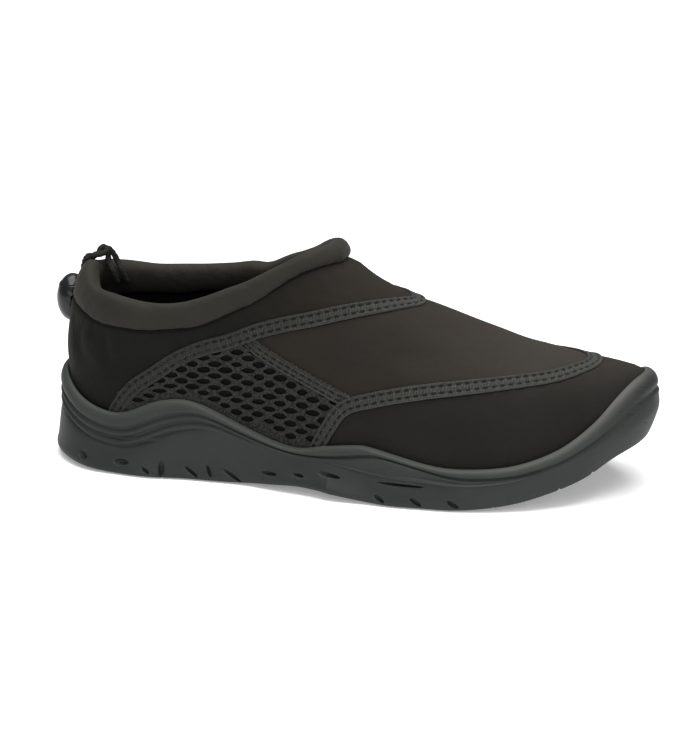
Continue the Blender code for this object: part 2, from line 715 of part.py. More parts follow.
def add_lock(name, low, high, centre, material, collection):
    """Slice of the lock's egg between two shares of its half height."""
    bm = bmesh.new()
    bmesh.ops.create_uvsphere(bm, u_segments=16, v_segments=12, radius=1)
    for height, upper in ((low, False), (high, True)):
        if abs(height) < 1:
            cut_faces = bm.verts[:] + bm.edges[:] + bm.faces[:]
            found = bmesh.ops.bisect_plane(bm, geom=cut_faces, plane_co=(0, 0, height), plane_no=(0, 0, 1),
                                           clear_outer=upper, clear_inner=not upper)
            edges = [item for item in found["geom_cut"] if isinstance(item, bmesh.types.BMEdge)]
            bmesh.ops.contextual_create(bm, geom=edges)
    for vert in bm.verts:
        vert.co.x = centre[0] + vert.co.x * LOCK_DEPTH / 2
        vert.co.y = centre[1] + vert.co.y * LOCK_WIDTH / 2
        vert.co.z = centre[2] + vert.co.z * LOCK_HEIGHT / 2
    mesh = bpy.data.meshes.new(name)
    bm.to_mesh(mesh)
    bm.free()
    mesh.shade_smooth()
    mesh.set_sharp_from_angle(angle=math.radians(35))
    mesh.materials.append(material)
    obj = bpy.data.objects.new(name, mesh)
    collection.objects.link(obj)
    return obj


def main():
    """Build the shoe's pieces, and beside them the cutters that part them."""
    for obj in list(bpy.data.objects):
        bpy.data.objects.remove(obj)
    shoe = bpy.data.collections.new("water_shoe")
    cutters = bpy.data.collections.new("cutters")
    for collection in (shoe, cutters):
        bpy.context.scene.collection.children.link(collection)

    rubber = add_material("sole_rubber", (0.045, 0.050, 0.045), 0.6)
    neoprene = add_material("neoprene", (0.035, 0.030, 0.025), 0.85)
    lining = add_material("roll_knit", (0.030, 0.028, 0.024), 0.9)
    webbing = add_material("tape_webbing", (0.050, 0.048, 0.042), 0.9)
    netting = add_material("net", (0.015, 0.015, 0.014), 0.8)
    foam = add_material("insole_foam", (0.020, 0.020, 0.020), 0.9)
    braid = add_material("cord_braid", (0.040, 0.040, 0.036), 0.85)
    plastic = add_material("lock_plastic", (0.020, 0.021, 0.024), 0.3)
    button = add_material("button_plastic", (0.16, 0.16, 0.16), 0.3)

    last = Last()
    roll = Roll(last)
    sole = add_piece("outsole", *rings(sole_rows(last), True), rubber, shoe)
    cut(sole, lug_grooves(cutters))
    add_piece("insole", *rings(insole_rows(last), True), foam, shoe)
    add_piece("upper", *rings(upper_rows(last), False), neoprene, shoe)
    add_piece("collar_roll", *rings(roll.rows(), False), lining, shoe)

    rim_block = add_piece("rim_block", *rings(rim_block_rows(last), False), None, cutters)
    form = add_piece("upper_form", *rings(form_rows(last, roll), True), None, cutters)
    wide = TAPE_WIDTH + 2 * GAP
    quarter, toe = tape_path(QUARTER_TAPE, True), tape_path(TOE_TAPE, True)
    quarter_room = add_piece("quarter_room", *strip(quarter, wide, -ROOM_BELOW, ROOM_ABOVE), None, cutters)
    toe_room = add_piece("toe_room", *strip(toe, wide, -ROOM_BELOW, ROOM_ABOVE), None, cutters)
    for name, path in (("quarter_tape", quarter), ("toe_tape", toe)):
        tape = add_piece(name, *strip(path, TAPE_WIDTH, TAPE_GAP, TAPE_THICKNESS, TAPE_CHAMFER),
                         webbing, shoe)
        if path is quarter:
            cut(tape, form)
        cut(tape, rim_block)
    for side, mirror in (("lateral", 1), ("medial", -1)):
        path = tape_path(NET_TAPE, False)
        path = [path[0], path[1] * mirror]
        tape = add_piece("net_tape_" + side, *strip(path, TAPE_WIDTH, GAP, TAPE_THICKNESS, TAPE_CHAMFER),
                         webbing, shoe)
        net_room = add_piece("net_room_" + side, *strip(path, wide, -ROOM_BELOW, ROOM_ABOVE), None, cutters)
        net = add_piece("net_" + side, *net_patch(-mirror, GAP, GAP + NET_THICKNESS), netting, shoe)
        for cutter in (quarter_room, toe_room):
            cut(tape, cutter)
            cut(net, cutter)
        cut(net, net_room)
        cut(net, rim_block)

    add_cord("pull_cord_near", cord_route(last, roll, -1), braid, shoe)
    add_cord("pull_cord_far", cord_route(last, roll, 1), braid, shoe)
    roll_form = add_piece("roll_form", *rings(roll.rows(off=GAP), False), None, cutters)
    centre = last.lines[len(last.theta) // 2, -1] + np.array(LOCK_OFFSET)
    body = add_lock("lock_body", -1, LOCK_CUT, centre, plastic, shoe)
    cap = add_lock("lock_button", LOCK_CUT + 2 * GAP / LOCK_HEIGHT, 1, centre, button, shoe)
    for piece in (body, cap):
        cut(piece, form)
        cut(piece, roll_form)


main()
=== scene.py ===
# %% [markdown]
# # A water shoe
# This lesson dresses the plain solids of a water shoe: a cupped rubber sole, a stretchy neoprene upper
# with net sides, sewn tapes, a padded roll round the collar and a pull cord with a lock at the heel.
# The solids come packed, in metres, with the toe along +X and the little-toe side towards -Y.

# %% Load the frame
import json
import math

import bmesh
import bpy
import numpy as np
from mathutils import Matrix, Quaternion, Vector
from mathutils.bvhtree import BVHTree
from mathutils.kdtree import KDTree

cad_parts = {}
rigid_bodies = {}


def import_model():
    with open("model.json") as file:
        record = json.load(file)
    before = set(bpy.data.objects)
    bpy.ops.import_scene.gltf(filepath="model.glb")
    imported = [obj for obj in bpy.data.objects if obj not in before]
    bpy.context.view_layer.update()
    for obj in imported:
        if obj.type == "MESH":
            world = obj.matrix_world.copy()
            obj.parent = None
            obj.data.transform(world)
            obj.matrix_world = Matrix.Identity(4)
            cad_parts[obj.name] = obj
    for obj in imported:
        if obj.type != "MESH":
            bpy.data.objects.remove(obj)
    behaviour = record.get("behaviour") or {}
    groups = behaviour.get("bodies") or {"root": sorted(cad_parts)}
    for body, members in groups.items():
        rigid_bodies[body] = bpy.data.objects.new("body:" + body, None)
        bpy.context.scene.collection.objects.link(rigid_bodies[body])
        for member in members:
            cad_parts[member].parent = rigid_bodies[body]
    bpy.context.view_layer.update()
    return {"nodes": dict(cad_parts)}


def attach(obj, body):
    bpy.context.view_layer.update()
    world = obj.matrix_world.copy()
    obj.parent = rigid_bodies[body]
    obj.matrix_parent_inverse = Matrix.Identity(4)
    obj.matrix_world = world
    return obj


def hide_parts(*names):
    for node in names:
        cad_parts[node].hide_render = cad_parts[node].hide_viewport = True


for leftover in list(bpy.data.objects):
    bpy.data.objects.remove(leftover)
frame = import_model()
print("solids:", ", ".join(sorted(frame["nodes"])))

# %% [markdown]
# ## Working by hand, in code
# Blender's operators act on what is selected, so one helper selects a single object and another opens it
# in edit mode with all of it selected. A third copies a solid, merges its loose triangles and joins them
# into four-sided faces, which subdivide smoothly.

# %% Helpers for selecting and copying
MM = 0.001
CREASE_ANGLE = 38
SMOOTHING_FITS = 3


def only(obj):
    """Select one object and make it active."""
    bpy.ops.object.select_all(action="DESELECT")
    obj.select_set(True)
    bpy.context.view_layer.objects.active = obj
    return obj


def edit(obj, *steps):
    """Run edit-mode steps on all of an object."""
    only(obj)
    bpy.ops.object.mode_set(mode="EDIT")
    bpy.ops.mesh.select_all(action="SELECT")
    for step in steps:
        step()
    bpy.ops.object.mode_set(mode="OBJECT")
    return obj


def copied(node, name):
    """A merged copy of a solid, with four-sided faces where they can be."""
    obj = bpy.data.objects.new(name, frame["nodes"][node].data.copy())
    obj.data.name = name
    obj.data.materials.clear()
    bpy.context.scene.collection.objects.link(obj)
    return edit(obj, lambda: bpy.ops.mesh.remove_doubles(threshold=0.01 * MM),
                lambda: bpy.ops.mesh.tris_convert_to_quads(face_threshold=math.pi, shape_threshold=math.pi))


def faced_out(obj):
    """Turn the faces of a piece outward."""
    return edit(obj, lambda: bpy.ops.mesh.normals_make_consistent(inside=False))


def made(name, verts, faces, finish):
    """A new piece from points and faces, with its finish."""
    mesh = bpy.data.meshes.new(name)
    mesh.from_pydata([tuple(vert) for vert in verts], [], faces)
    mesh.materials.append(finish.material)
    obj = bpy.data.objects.new(name, mesh)
    bpy.context.scene.collection.objects.link(obj)
    return obj


def finished(obj, kind, **settings):
    """Add a modifier and apply it."""
    only(obj)
    modifier = obj.modifiers.new(kind.lower(), kind)
    for key, value in settings.items():
        setattr(modifier, key, value)
    bpy.ops.object.modifier_apply(modifier=modifier.name)
    return obj


def points_of(obj, kind="co"):
    """The places of the object's points as an array."""
    places = np.empty(len(obj.data.vertices) * 3)
    obj.data.vertices.foreach_get(kind, places)
    return places.reshape(-1, 3)


def normals_of(obj):
    """The directions in which the object's points face."""
    return points_of(obj, "normal")


def move_points(obj, places):
    """Put the object's points in new places."""
    obj.data.vertices.foreach_set("co", np.asarray(places, float).ravel())
    obj.data.update()


def smoothed(obj, levels, fits=SMOOTHING_FITS):
    """Round an object off by subdivision, and lead its points back to where they were."""
    aims = points_of(obj)
    only(obj)
    modifier = obj.modifiers.new("rounding", "SUBSURF")
    modifier.levels = modifier.render_levels = levels
    for _ in range(fits):
        rounded = obj.evaluated_get(bpy.context.evaluated_depsgraph_get())
        move_points(obj, points_of(obj) + aims - points_of(rounded)[:len(aims)])
    bpy.ops.object.modifier_apply(modifier=modifier.name)
    drift = np.abs(points_of(obj)[:len(aims)] - aims).max() / MM
    print(obj.name, "rounded, farthest point moved", round(float(drift), 2), "mm")
    return obj


def paint(obj, name, values):
    """Keep one number for each point, for the materials to read."""
    layer = obj.data.attributes.new(name, "FLOAT", "POINT")
    layer.data.foreach_set("value", np.asarray(values, np.float32))


def keep(obj, slot, *nodes):
    """Attach a piece to the root body, hide the solids it stands for, and smooth its shading; slot is not
    used.
    """
    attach(obj, "root")
    if nodes:
        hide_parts(*nodes)
    only(obj)
    bpy.ops.object.shade_smooth_by_angle(angle=math.radians(CREASE_ANGLE))
    print(obj.name, len(obj.data.vertices), "points")
    return obj


# %% [markdown]
# ## The camera
# The shoe was photographed from its outer side, a little from the front and from above. The camera stands
# 1.2 m away with a long lens, so that the picture is nearly flat.

# %% Place the camera
AZIMUTH, ELEVATION, TILT = (math.radians(angle) for angle in (13, 17, 0.5))
TARGET = Vector((91.4, 0, 40)) * MM
DISTANCE = 1.2
LENS, SHIFT = 130.6, (-0.0247, 0.006)
back = Vector((math.sin(AZIMUTH) * math.cos(ELEVATION), -math.cos(AZIMUTH) * math.cos(ELEVATION),
               math.sin(ELEVATION)))
lens = bpy.data.cameras.new("camera")
lens.lens = LENS
lens.shift_x, lens.shift_y = SHIFT
camera = bpy.data.objects.new("camera", lens)
camera.location = TARGET + back * DISTANCE
camera.rotation_mode = "QUATERNION"
camera.rotation_quaternion = Quaternion(back, TILT) @ (-back).to_track_quat("-Z", "Y")
bpy.context.scene.collection.objects.link(camera)
bpy.context.scene.camera = camera
print("camera at", [round(part, 3) for part in camera.location])

# %% [markdown]
# ## Finishes as sums
# A material is a little calculation that runs at every point of a surface. The class `Wire` lets that
# calculation be written as plain sums, and `Finish` makes one material and adds its nodes.

# %% A small language for materials


class Wire:
    """A value on its way between nodes, that can be added, multiplied and so on."""

    def __init__(self, finish, socket):
        self.finish = finish
        self.socket = socket

    def maths(self, operation, *values):
        """One Math node."""
        return self.finish.node("Math", {"operation": operation}, dict(enumerate(values)))

    def __add__(self, other):
        return self.maths("ADD", self, other)

    def __sub__(self, other):
        return self.maths("SUBTRACT", self, other)

    def __mul__(self, other):
        return self.maths("MULTIPLY", self, other)

    def __truediv__(self, other):
        return self.maths("DIVIDE", self, other)

    def __radd__(self, other):
        return self.maths("ADD", other, self)

    def __rsub__(self, other):
        return self.maths("SUBTRACT", other, self)

    def __pow__(self, other):
        return self.maths("POWER", self, other)

    def between(self, low, high):
        """0 at low, 1 at high, held outside them."""
        return self.finish.node("MapRange", {"clamp": True}, {0: self, 1: low, 2: high})

    def wave(self):
        """The sine of the value, brought between 0 and 1."""
        return self.maths("SINE", self) * 0.5 + 0.5


class Finish:
    """One material and the nodes that make it."""

    def __init__(self, name, **sockets):
        self.material = bpy.data.materials.new(name)
        self.material.use_nodes = True
        self.tree = self.material.node_tree
        self.surface = self.tree.nodes["Principled BSDF"]
        for key, value in sockets.items():
            self.feed(self.surface.inputs[key.replace("_", " ")], value)

    def feed(self, socket, value):
        """Set a socket or link it."""
        if isinstance(value, Wire):
            self.tree.links.new(value.socket, socket)
        else:
            socket.default_value = value

    def node(self, kind, settings, values, output=0):
        """Any node: its settings first, then the values or links of its sockets."""
        made = self.tree.nodes.new("ShaderNode" + kind)
        for key, value in settings.items():
            setattr(made, key, value)
        for key, value in values.items():
            self.feed(made.inputs[key], value)
        return Wire(self, made.outputs[output])

    def place(self, scale=(1, 1, 1)):
        """The place on the object in millimetres, scaled along each axis."""
        here = self.node("TexCoord", {}, {}, "Object")
        return self.node("Mapping", {}, {"Vector": here, "Scale": tuple(part / MM for part in scale)})

    def painted(self, name):
        """A number kept on the points."""
        return self.node("Attribute", {"attribute_name": name}, {}, "Fac")

    def noise(self, where, scale, detail=3.0, roughness=0.55):
        """Soft random patches."""
        return self.node("TexNoise", {}, {"Vector": where, "Scale": scale, "Detail": detail,
                                          "Roughness": roughness}, "Fac")

    def cells(self, where, scale):
        """Distance to the nearest of scattered points."""
        return self.node("TexVoronoi", {}, {"Vector": where, "Scale": scale}, "Distance")

    def parts(self, where):
        """The three numbers of a place."""
        split = self.node("SeparateXYZ", {}, {0: where})
        return [Wire(self, split.socket.node.outputs[axis]) for axis in range(3)]

    def blend(self, amount, first, second):
        """Mix two colours."""
        colours = [(*colour, 1) if isinstance(colour, tuple) else colour for colour in (first, second)]
        return self.node("Mix", {"data_type": "RGBA"}, {0: amount, 6: colours[0], 7: colours[1]}, 2)

    def raised(self, height, depth, under=None):
        """A bump: height from 0 to 1, worth a depth in metres."""
        values = {"Height": height, "Distance": depth, "Strength": 1.0}
        if under:
            values["Normal"] = under
        return self.node("Bump", {}, values)

    def look(self, **links):
        """Link what changes over the surface."""
        for key, value in links.items():
            self.feed(self.surface.inputs[key.replace("_", " ")], value)


# %% [markdown]
# ## Neoprene
# The upper is foam rubber faced with a fine jersey. It is matt, almost black, a little warmer and paler
# over the vamp than at the heel, and its face shows tiny knitted rows. The front of the vamp is painted
# paler still, a painted highlight mixed with soft random wear. The attributes `heel` and `toe` say where
# the darker heel panel and toe cap are; the toe is also painted darker where it faces sideways, as painted
# shade. `hidden` marks the inside and the net's backing, which are painted almost black as painted shade.

# %% Mix the neoprene
VAMP_WARM, VAMP_COOL = (0.0185, 0.0146, 0.0110), (0.0142, 0.0124, 0.0098)
VAMP_WORN_AND_LIT = (0.042, 0.035, 0.029)
HEEL_BLACK, TOE_PANEL_AND_SHADE = (0.0058, 0.0060, 0.0044), (0.0112, 0.0104, 0.0086)
SHADED = (0.0012, 0.0012, 0.0010)
KNIT_WOBBLE, KNIT_FUZZ = (0.35, 2.5), 2.2
JERSEY_ROWS, JERSEY_DEPTH = 7.0, 0.00012
PATCH_SCALE, WEAR_SCALE = 0.045, 0.9
WEAR_SHARE, FRONT_SHARE, FRONT = 0.12, 0.46, (112, 172)
DENT_SCALE, DENT_DEPTH = 0.11, 0.0006


def knit(finish, where, rows, depth, under=None):
    """Bump of fine knitted rows with a little unevenness."""
    along, across, up = finish.parts(where)
    wobble = finish.noise(where, KNIT_WOBBLE[0]) * KNIT_WOBBLE[1]
    ribs = (along * rows + wobble).wave() * (up * rows + across * rows).wave()
    return finish.raised(ribs * 0.7 + finish.noise(where, KNIT_FUZZ) * 0.6, depth, under)


neoprene = Finish("neoprene_jersey", Sheen_Weight=0.03, Sheen_Roughness=0.5, Sheen_Tint=(0.9, 0.85, 0.8, 1),
                  Specular_IOR_Level=0.12)
place = neoprene.place()
patches = neoprene.noise(place, PATCH_SCALE).between(0.35, 0.65)
heel = neoprene.painted("heel")
toe_cap_and_side_shade = neoprene.painted("toe")
hidden = neoprene.painted("hidden")
jersey = neoprene.blend(patches, VAMP_COOL, VAMP_WARM)
# Painted highlight: the front of the vamp is painted paler, where light from above falls on it; the noise
# adds soft random wear.
painted_front_light = neoprene.parts(place)[0].between(*FRONT)
wear_and_painted_light = neoprene.noise(place, WEAR_SCALE) * WEAR_SHARE + painted_front_light * FRONT_SHARE
vamp = neoprene.blend(wear_and_painted_light, jersey, VAMP_WORN_AND_LIT)
# The toe takes its darker panel colour, with painted shade where it faces sideways.
outside = neoprene.blend(heel, neoprene.blend(toe_cap_and_side_shade, vamp, TOE_PANEL_AND_SHADE), HEEL_BLACK)
# Painted shade: where `hidden` is set, the neoprene is painted almost black.
neoprene.look(Base_Color=neoprene.blend(hidden, outside, SHADED),
              Roughness=0.72 + patches * 0.12,
              Normal=knit(neoprene, place, JERSEY_ROWS, JERSEY_DEPTH,
                          neoprene.raised(neoprene.noise(place, DENT_SCALE), DENT_DEPTH)))

# %% [markdown]
# ## The routes of the seams
# The tapes, the net and the stitches all lie on the upper. Each route is a short table of places in
# millimetres; it is drawn as a smooth line, and every place on it is then dropped onto the upper itself,
# which also gives the direction that faces out.

# %% Routes on the upper
QUARTER_ROUTE = (
    (-16, -28.5, 14.8), (-11.3, -29.3, 26.7), (-3.9, -29.8, 37.1), (6.2, -30.1, 44.8),
    (16.7, -29.5, 52.2), (28.1, -29, 57.8), (40.2, -28.6, 61.8), (51.9, -28.2, 66.9),
    (64, -27.6, 70.8), (76.4, -26.2, 73.7), (88.4, -23.1, 76.5), (99.8, -17.6, 78.1),
    (109.8, -9.7, 78.5), (117.3, 0.4, 77.8), (111.9, 9.8, 78.4), (100.3, 15.1, 78.1),
    (88.1, 18.6, 76.4), (76, 21.3, 73.6), (63.7, 23.5, 70.8), (51.7, 25.3, 66.8),
    (40.1, 26.9, 61.7), (28, 28.2, 57.8), (16.6, 29.2, 52.2), (6.2, 30, 44.8),
    (-3.9, 29.9, 37.1), (-11.3, 29.3, 26.7), (-16, 28.5, 14.8))
TOE_ROUTE = (
    (79.6, -35.1, 15.3), (85.4, -35.8, 27), (92.9, -35.8, 37.7), (104.9, -36.1, 42.3),
    (117.6, -35.8, 45.5), (130.4, -34.1, 47.8), (143, -31.3, 49.4), (155.4, -27.1, 50.7),
    (167.3, -21.6, 51.6), (178.5, -14.9, 52.3), (187.9, -6, 53.5), (194.3, 5.3, 54.4),
    (191.7, 17.7, 54.1), (181.7, 25.8, 52.6), (169.3, 30, 51.7), (156.4, 31.6, 50.8),
    (143.3, 31.8, 49.5), (130.4, 30.9, 47.8), (117.5, 29.8, 45.5), (104.9, 28.5, 42.3),
    (92.9, 27.9, 37.7), (85.4, 28.2, 27), (79.6, 28.1, 15.3))
NET_ROUTE = (
    (47.6, -28.7, 62.7), (53.2, -29.3, 58.7), (60.9, -30.2, 54.7), (69.4, -31.3, 50.7),
    (78.1, -32.6, 47), (86.7, -34.1, 43.4), (95.0, -35.0, 40.2))
SEAM_ROUTE = (
    (86.3, 0.5, 95), (84.8, 6.6, 94.5), (80.6, 11.7, 92.9), (74.2, 16.4, 89.1),
    (66.3, 20.1, 84.6), (57.7, 22.8, 79.5), (48.8, 24.3, 76), (40, 25.5, 74.9),
    (31.5, 26.6, 72.4), (23.1, 27.4, 70.9), (14.6, 28, 69.6), (6.1, 28.4, 68),
    (-2.7, 28, 67.4), (-11.6, 26.9, 67.5), (-20.2, 24.6, 67.8), (-28.1, 20.6, 68.6),
    (-34.5, 14.8, 68.9), (-38.7, 8.2, 69.4), (-40.1, 0, 69.7), (-38.7, -8.2, 69.2),
    (-34.5, -15, 67.8), (-28.1, -21, 65.6), (-20.2, -25, 63.6), (-11.6, -27.3, 63.2),
    (-2.7, -28.4, 62.7), (6.1, -28.9, 62.9), (14.6, -28.7, 64.1), (23.1, -28.4, 65.5),
    (31.5, -28.1, 68.6), (40, -27.4, 73), (48.8, -26.5, 77.6), (57.7, -25.1, 83.4),
    (66.3, -22.4, 89.1), (74.2, -18.1, 92.9), (80.6, -12.7, 94.7), (84.8, -6.7, 95),
    (86.3, 0.5, 95))

RIM_ROUTE = (
    (216.2, 9.8, 49.7), (212.7, 20.5, 47.5), (205.1, 30.5, 40.8), (193.9, 38.3, 29.7),
    (177.5, 42.4, 20.8), (156.7, 42.9, 17.6), (127.2, 37.2, 18.6), (101.5, 31, 22.6),
    (89.9, 29.5, 20.9), (80.2, 28.7, 19.1), (66.1, 28.4, 18.5), (40.2, 29.4, 27.9),
    (21.9, 30.4, 33.9), (8.6, 31, 32.4), (-4.1, 30.8, 26.9), (-18.3, 28.5, 26.2),
    (-30.7, 22.6, 31.1), (-38.6, 12.5, 37), (-41.3, 0, 39.5), (-38.6, -12.5, 37),
    (-30.7, -22.6, 31.1), (-18.3, -28.5, 26.2), (-4.1, -30.7, 26.9), (8.6, -31.1, 32.4),
    (21.9, -30.9, 33.9), (40.1, -31.3, 27.9), (66.1, -33.6, 18.5), (80.2, -35.8, 19.1),
    (89.8, -37.6, 20.9), (101, -39.8, 22.5), (132.4, -44.4, 17.9), (158.1, -41.5, 17.6),
    (177.9, -33.9, 21.4), (194.2, -23.4, 30.3), (205.4, -11.8, 41.5), (212.4, -0.7, 48),
    (216.2, 9.8, 49.7))

CURVE_STEPS = 16
EVEN_OUT, EVEN_GROUND = 2 * MM, 1 * MM


def drawn(table, step):
    """Even places along a smooth line through a table's places."""
    knots = np.array(table, float) * MM
    ends = [2 * knots[0] - knots[1], 2 * knots[-1] - knots[-2]]
    padded = np.vstack([ends[:1], knots, ends[1:]])
    fine = []
    for a, b, c, d in zip(padded, padded[1:], padded[2:], padded[3:]):
        for t in np.linspace(0, 1, CURVE_STEPS, endpoint=False):
            fine.append(0.5 * (2 * b + (c - a) * t + (2 * a - 5 * b + 4 * c - d) * t**2
                               + (3 * b - a - 3 * c + d) * t**3))
    fine = np.array(fine + [knots[-1]])
    run = np.concatenate([[0], np.cumsum(np.linalg.norm(np.diff(fine, axis=0), axis=1))])
    even = np.linspace(0, run[-1], max(2, int(round(run[-1] / step)) + 1))
    return np.stack([np.interp(even, run, fine[:, axis]) for axis in range(3)], axis=1)


def unit(vectors):
    """Vectors of length one in the same directions."""
    return vectors / np.maximum(np.linalg.norm(vectors, axis=-1, keepdims=True), 1e-12)


def mirrored(table):
    """The same route on the big-toe side; the upper moves it to its own width."""
    return [(x, -y, z) for x, y, z in table]


class Cover:
    """A surface that other things are laid on."""

    def __init__(self, obj):
        self.tree = BVHTree.FromObject(obj, bpy.context.evaluated_depsgraph_get())

    def drop(self, places):
        """The nearest places on the surface, and the directions that face out there."""
        found = [self.tree.find_nearest(Vector(place)) for place in places]
        return np.array([hit[0] for hit in found]), np.array([hit[1] for hit in found])


def eased(values, turns):
    """Even out a run of vectors a little."""
    for _ in range(turns):
        padded = np.vstack([values[:1], values, values[-1:]])
        values = (padded[:-2] + 2 * padded[1:-1] + padded[2:]) / 4
    return values


class Route:
    """A line on the upper with the directions along it, out of it and to its side."""

    def __init__(self, table, step, cover):
        self.places, out = cover.drop(drawn(table, step))
        self.places = eased(self.places, 1)
        self.along = unit(np.gradient(self.places, axis=0))
        self.out = unit(eased(out, max(2, int(2 * (EVEN_OUT / step)**2))))
        self.side = unit(np.cross(self.out, self.along))
        self.step = step
        self.cover = cover

    def off(self, across, above):
        """Places beside the line, dropped back on the upper and lifted off it."""
        ground, _ = self.cover.drop(self.places + self.side * across)
        ground = eased(ground, int(2 * (EVEN_GROUND / self.step)**2))
        return ground + self.out * np.reshape(above, (-1, 1))


def tube(middles, ups, sides, wide, tall, corners):
    """Points and faces of a closed tube through the middles."""
    rings = []
    for k in range(corners):
        angle = 2 * math.pi * k / corners
        rings.append(middles + sides * math.cos(angle) * wide + ups * math.sin(angle) * tall)
    verts = np.stack(rings, axis=1).reshape(-1, 3)
    faces = []
    for row in range(len(middles) - 1):
        for k in range(corners):
            a, b = row * corners + k, row * corners + (k + 1) % corners
            faces.append((a, b, b + corners, a + corners))
    faces.append(tuple(range(corners))[::-1])
    faces.append(tuple((len(middles) - 1) * corners + k for k in range(corners)))
    return verts, faces


# %% [markdown]
# ## The upper
# The solid is already the right shape, only faceted. Its copy is subdivided, and then what a sewn shoe
# shows is pushed into it: a shallow groove where each tape pulls the neoprene in, small puckers beside
# the seams, and a few listed creases. The toe is filled out to the rim and the heel rounded.
# A crease is its start, its end, its width and its depth, and shows on both sides.

# %% Smooth the upper and pucker it
CREASES = (
    ((34, 27.5, 65), (67, 24, 82), 2.4, 0.9), ((61, 26, 77), (53, 28, 69), 1.8, 0.6),
    ((-21, 26, 61), (-13, 28.5, 44), 3.2, 0.7), ((-33, 19, 62), (-29, 23, 46), 2.8, 0.6),
    ((2, 29, 60), (9, 30, 49), 2.6, 0.5), ((104, 29, 66), (138, 28, 57), 6.0, 0.7),
    ((150, 27, 56), (178, 6, 60), 7.0, 0.5), ((98, 37, 33), (150, 40, 26), 5.5, 0.6))
TOE_FILL, HEEL_FILL = 1.6, 1.2
TOE_X, HEEL_X, FADE, RIM_REACH, HEEL_Z, HEEL_REACH = 0.195, -0.026, 0.012, 5, 0.05, 0.011
PANEL_BLUR, PANEL_END, DARK_END, DARK_FADE, PALEST = 1.5, 0.118, 0.085, 0.05, 0.25
TOE_CAP_X, SIDE_SHADE = 0.193, (1.6, 1.05)
GROOVE_SHARE, GROOVE_REACH = 0.6, 4.2
RIPPLE_SHARE, RIPPLE_AWAY, RIPPLE_REACH = 0.38, 5, 3.4
RIDGE_SHARE, RIDGE_AWAY = 0.45, 1.9
MIDDLE = (0.08, 0.003, 0.02)
SEAM_PULL = (0.6, 9.0), (0.5, 8.0), (1.2, 7.5)
LINE_STEP = 2 * MM
NET_TOP = ((-15, 45, 95), (60, 64, 39.5))
TOE_EDGE = ((15.3, 27, 37.7, 50), (79.6, 85.4, 92.9, 100))
upper = smoothed(copied("upper", "upper_neoprene"), 2)
bare = Cover(upper)
quarter_line = Route(QUARTER_ROUTE, LINE_STEP, bare)
toe_line = Route(TOE_ROUTE, LINE_STEP, bare)
net_line = Route(mirrored(NET_ROUTE), LINE_STEP, bare)
seam_line = Route(SEAM_ROUTE, LINE_STEP, bare)


def distance_to(places, line):
    """How far each place is from a line, and how far along the line it is."""
    tree = KDTree(len(line))
    for index, place in enumerate(line):
        tree.insert(place, index)
    tree.balance()
    found = [tree.find(place) for place in places]
    return np.array([hit[2] for hit in found]), np.array([hit[1] for hit in found]) * LINE_STEP


def above_route(places, route):
    """Height of each place over the line of a route on its own side, seen from the side."""
    half = len(route.places) // 2
    heights = []
    for line in (route.places[:half + 1], route.places[half:][::-1]):
        heights.append(places[:, 2] - np.interp(places[:, 0], line[:, 0], line[:, 2]))
    return np.where(places[:, 1] < 0, heights[0], heights[1])


places, facing = points_of(upper), normals_of(upper)
outer = np.einsum("ij,ij->i", facing, places - MIDDLE) > 0
push = np.zeros(len(places))
rng = np.random.default_rng(7)
for route, (depth, pitch) in zip((quarter_line, toe_line, seam_line), SEAM_PULL):
    near, run = distance_to(places, route.places)
    wander = np.interp(run, np.arange(0, 0.4, 0.012), rng.uniform(0.2, 1, 34))
    ripple = np.sin(2 * math.pi * run / (pitch * MM) + 6 * wander) * wander
    beside = (near - RIPPLE_AWAY * MM) / (RIPPLE_REACH * MM)
    push -= depth * MM * GROOVE_SHARE * np.exp(-(near / (GROOVE_REACH * MM))**2)
    push += depth * MM * RIPPLE_SHARE * ripple * np.exp(-beside**2)
for start, end, width, depth in CREASES:
    for side in (-1, 1):
        first, last = (np.array([x, y * side, z]) * MM for x, y, z in (start, end))
        share = np.clip((places - first) @ (last - first) / np.sum((last - first)**2), 0, 1)
        away = np.linalg.norm(places - first - share[:, None] * (last - first), axis=1) / (width * MM)
        strength = depth * MM * np.sin(math.pi * np.clip(share, 0.04, 0.96)) ** 0.7
        push += strength * (RIDGE_SHARE * np.exp(-(away - RIDGE_AWAY)**2) - np.exp(-away**2))
rim_near = distance_to(places, Route(RIM_ROUTE, LINE_STEP, bare).places)[0]
toward_toe = np.clip((places[:, 0] - TOE_X) / FADE, 0, 1)
toward_heel = np.clip((HEEL_X - places[:, 0]) / FADE, 0, 1)
push += TOE_FILL * MM * np.exp(-(rim_near / (RIM_REACH * MM))**2) * toward_toe
push += HEEL_FILL * MM * toward_heel * np.exp(-((places[:, 2] - HEEL_Z) / HEEL_REACH)**2)
move_points(upper, places + facing * (push * outer)[:, None])
over = above_route(places, quarter_line)
heel_panel = np.clip(over / (PANEL_BLUR * MM) + 0.5, 0, 1) * (places[:, 0] < PANEL_END)
toe_front = np.interp(places[:, 2] / MM, *TOE_EDGE) * MM
net_top = np.interp(places[:, 0] / MM, *NET_TOP) * MM
under_net = (places[:, 2] < net_top) & (places[:, 0] < toe_front) & (over < 0)
heel_dark = np.clip((DARK_END - places[:, 0]) / DARK_FADE, 0, 1)
paint(upper, "heel", heel_panel * (PALEST + (1 - PALEST) * heel_dark))
# Painted shade: the inside of the upper and the backing behind the net's holes are painted almost black.
paint(upper, "hidden", np.maximum(under_net, ~outer))
under_tape = above_route(places, toe_line) < 0
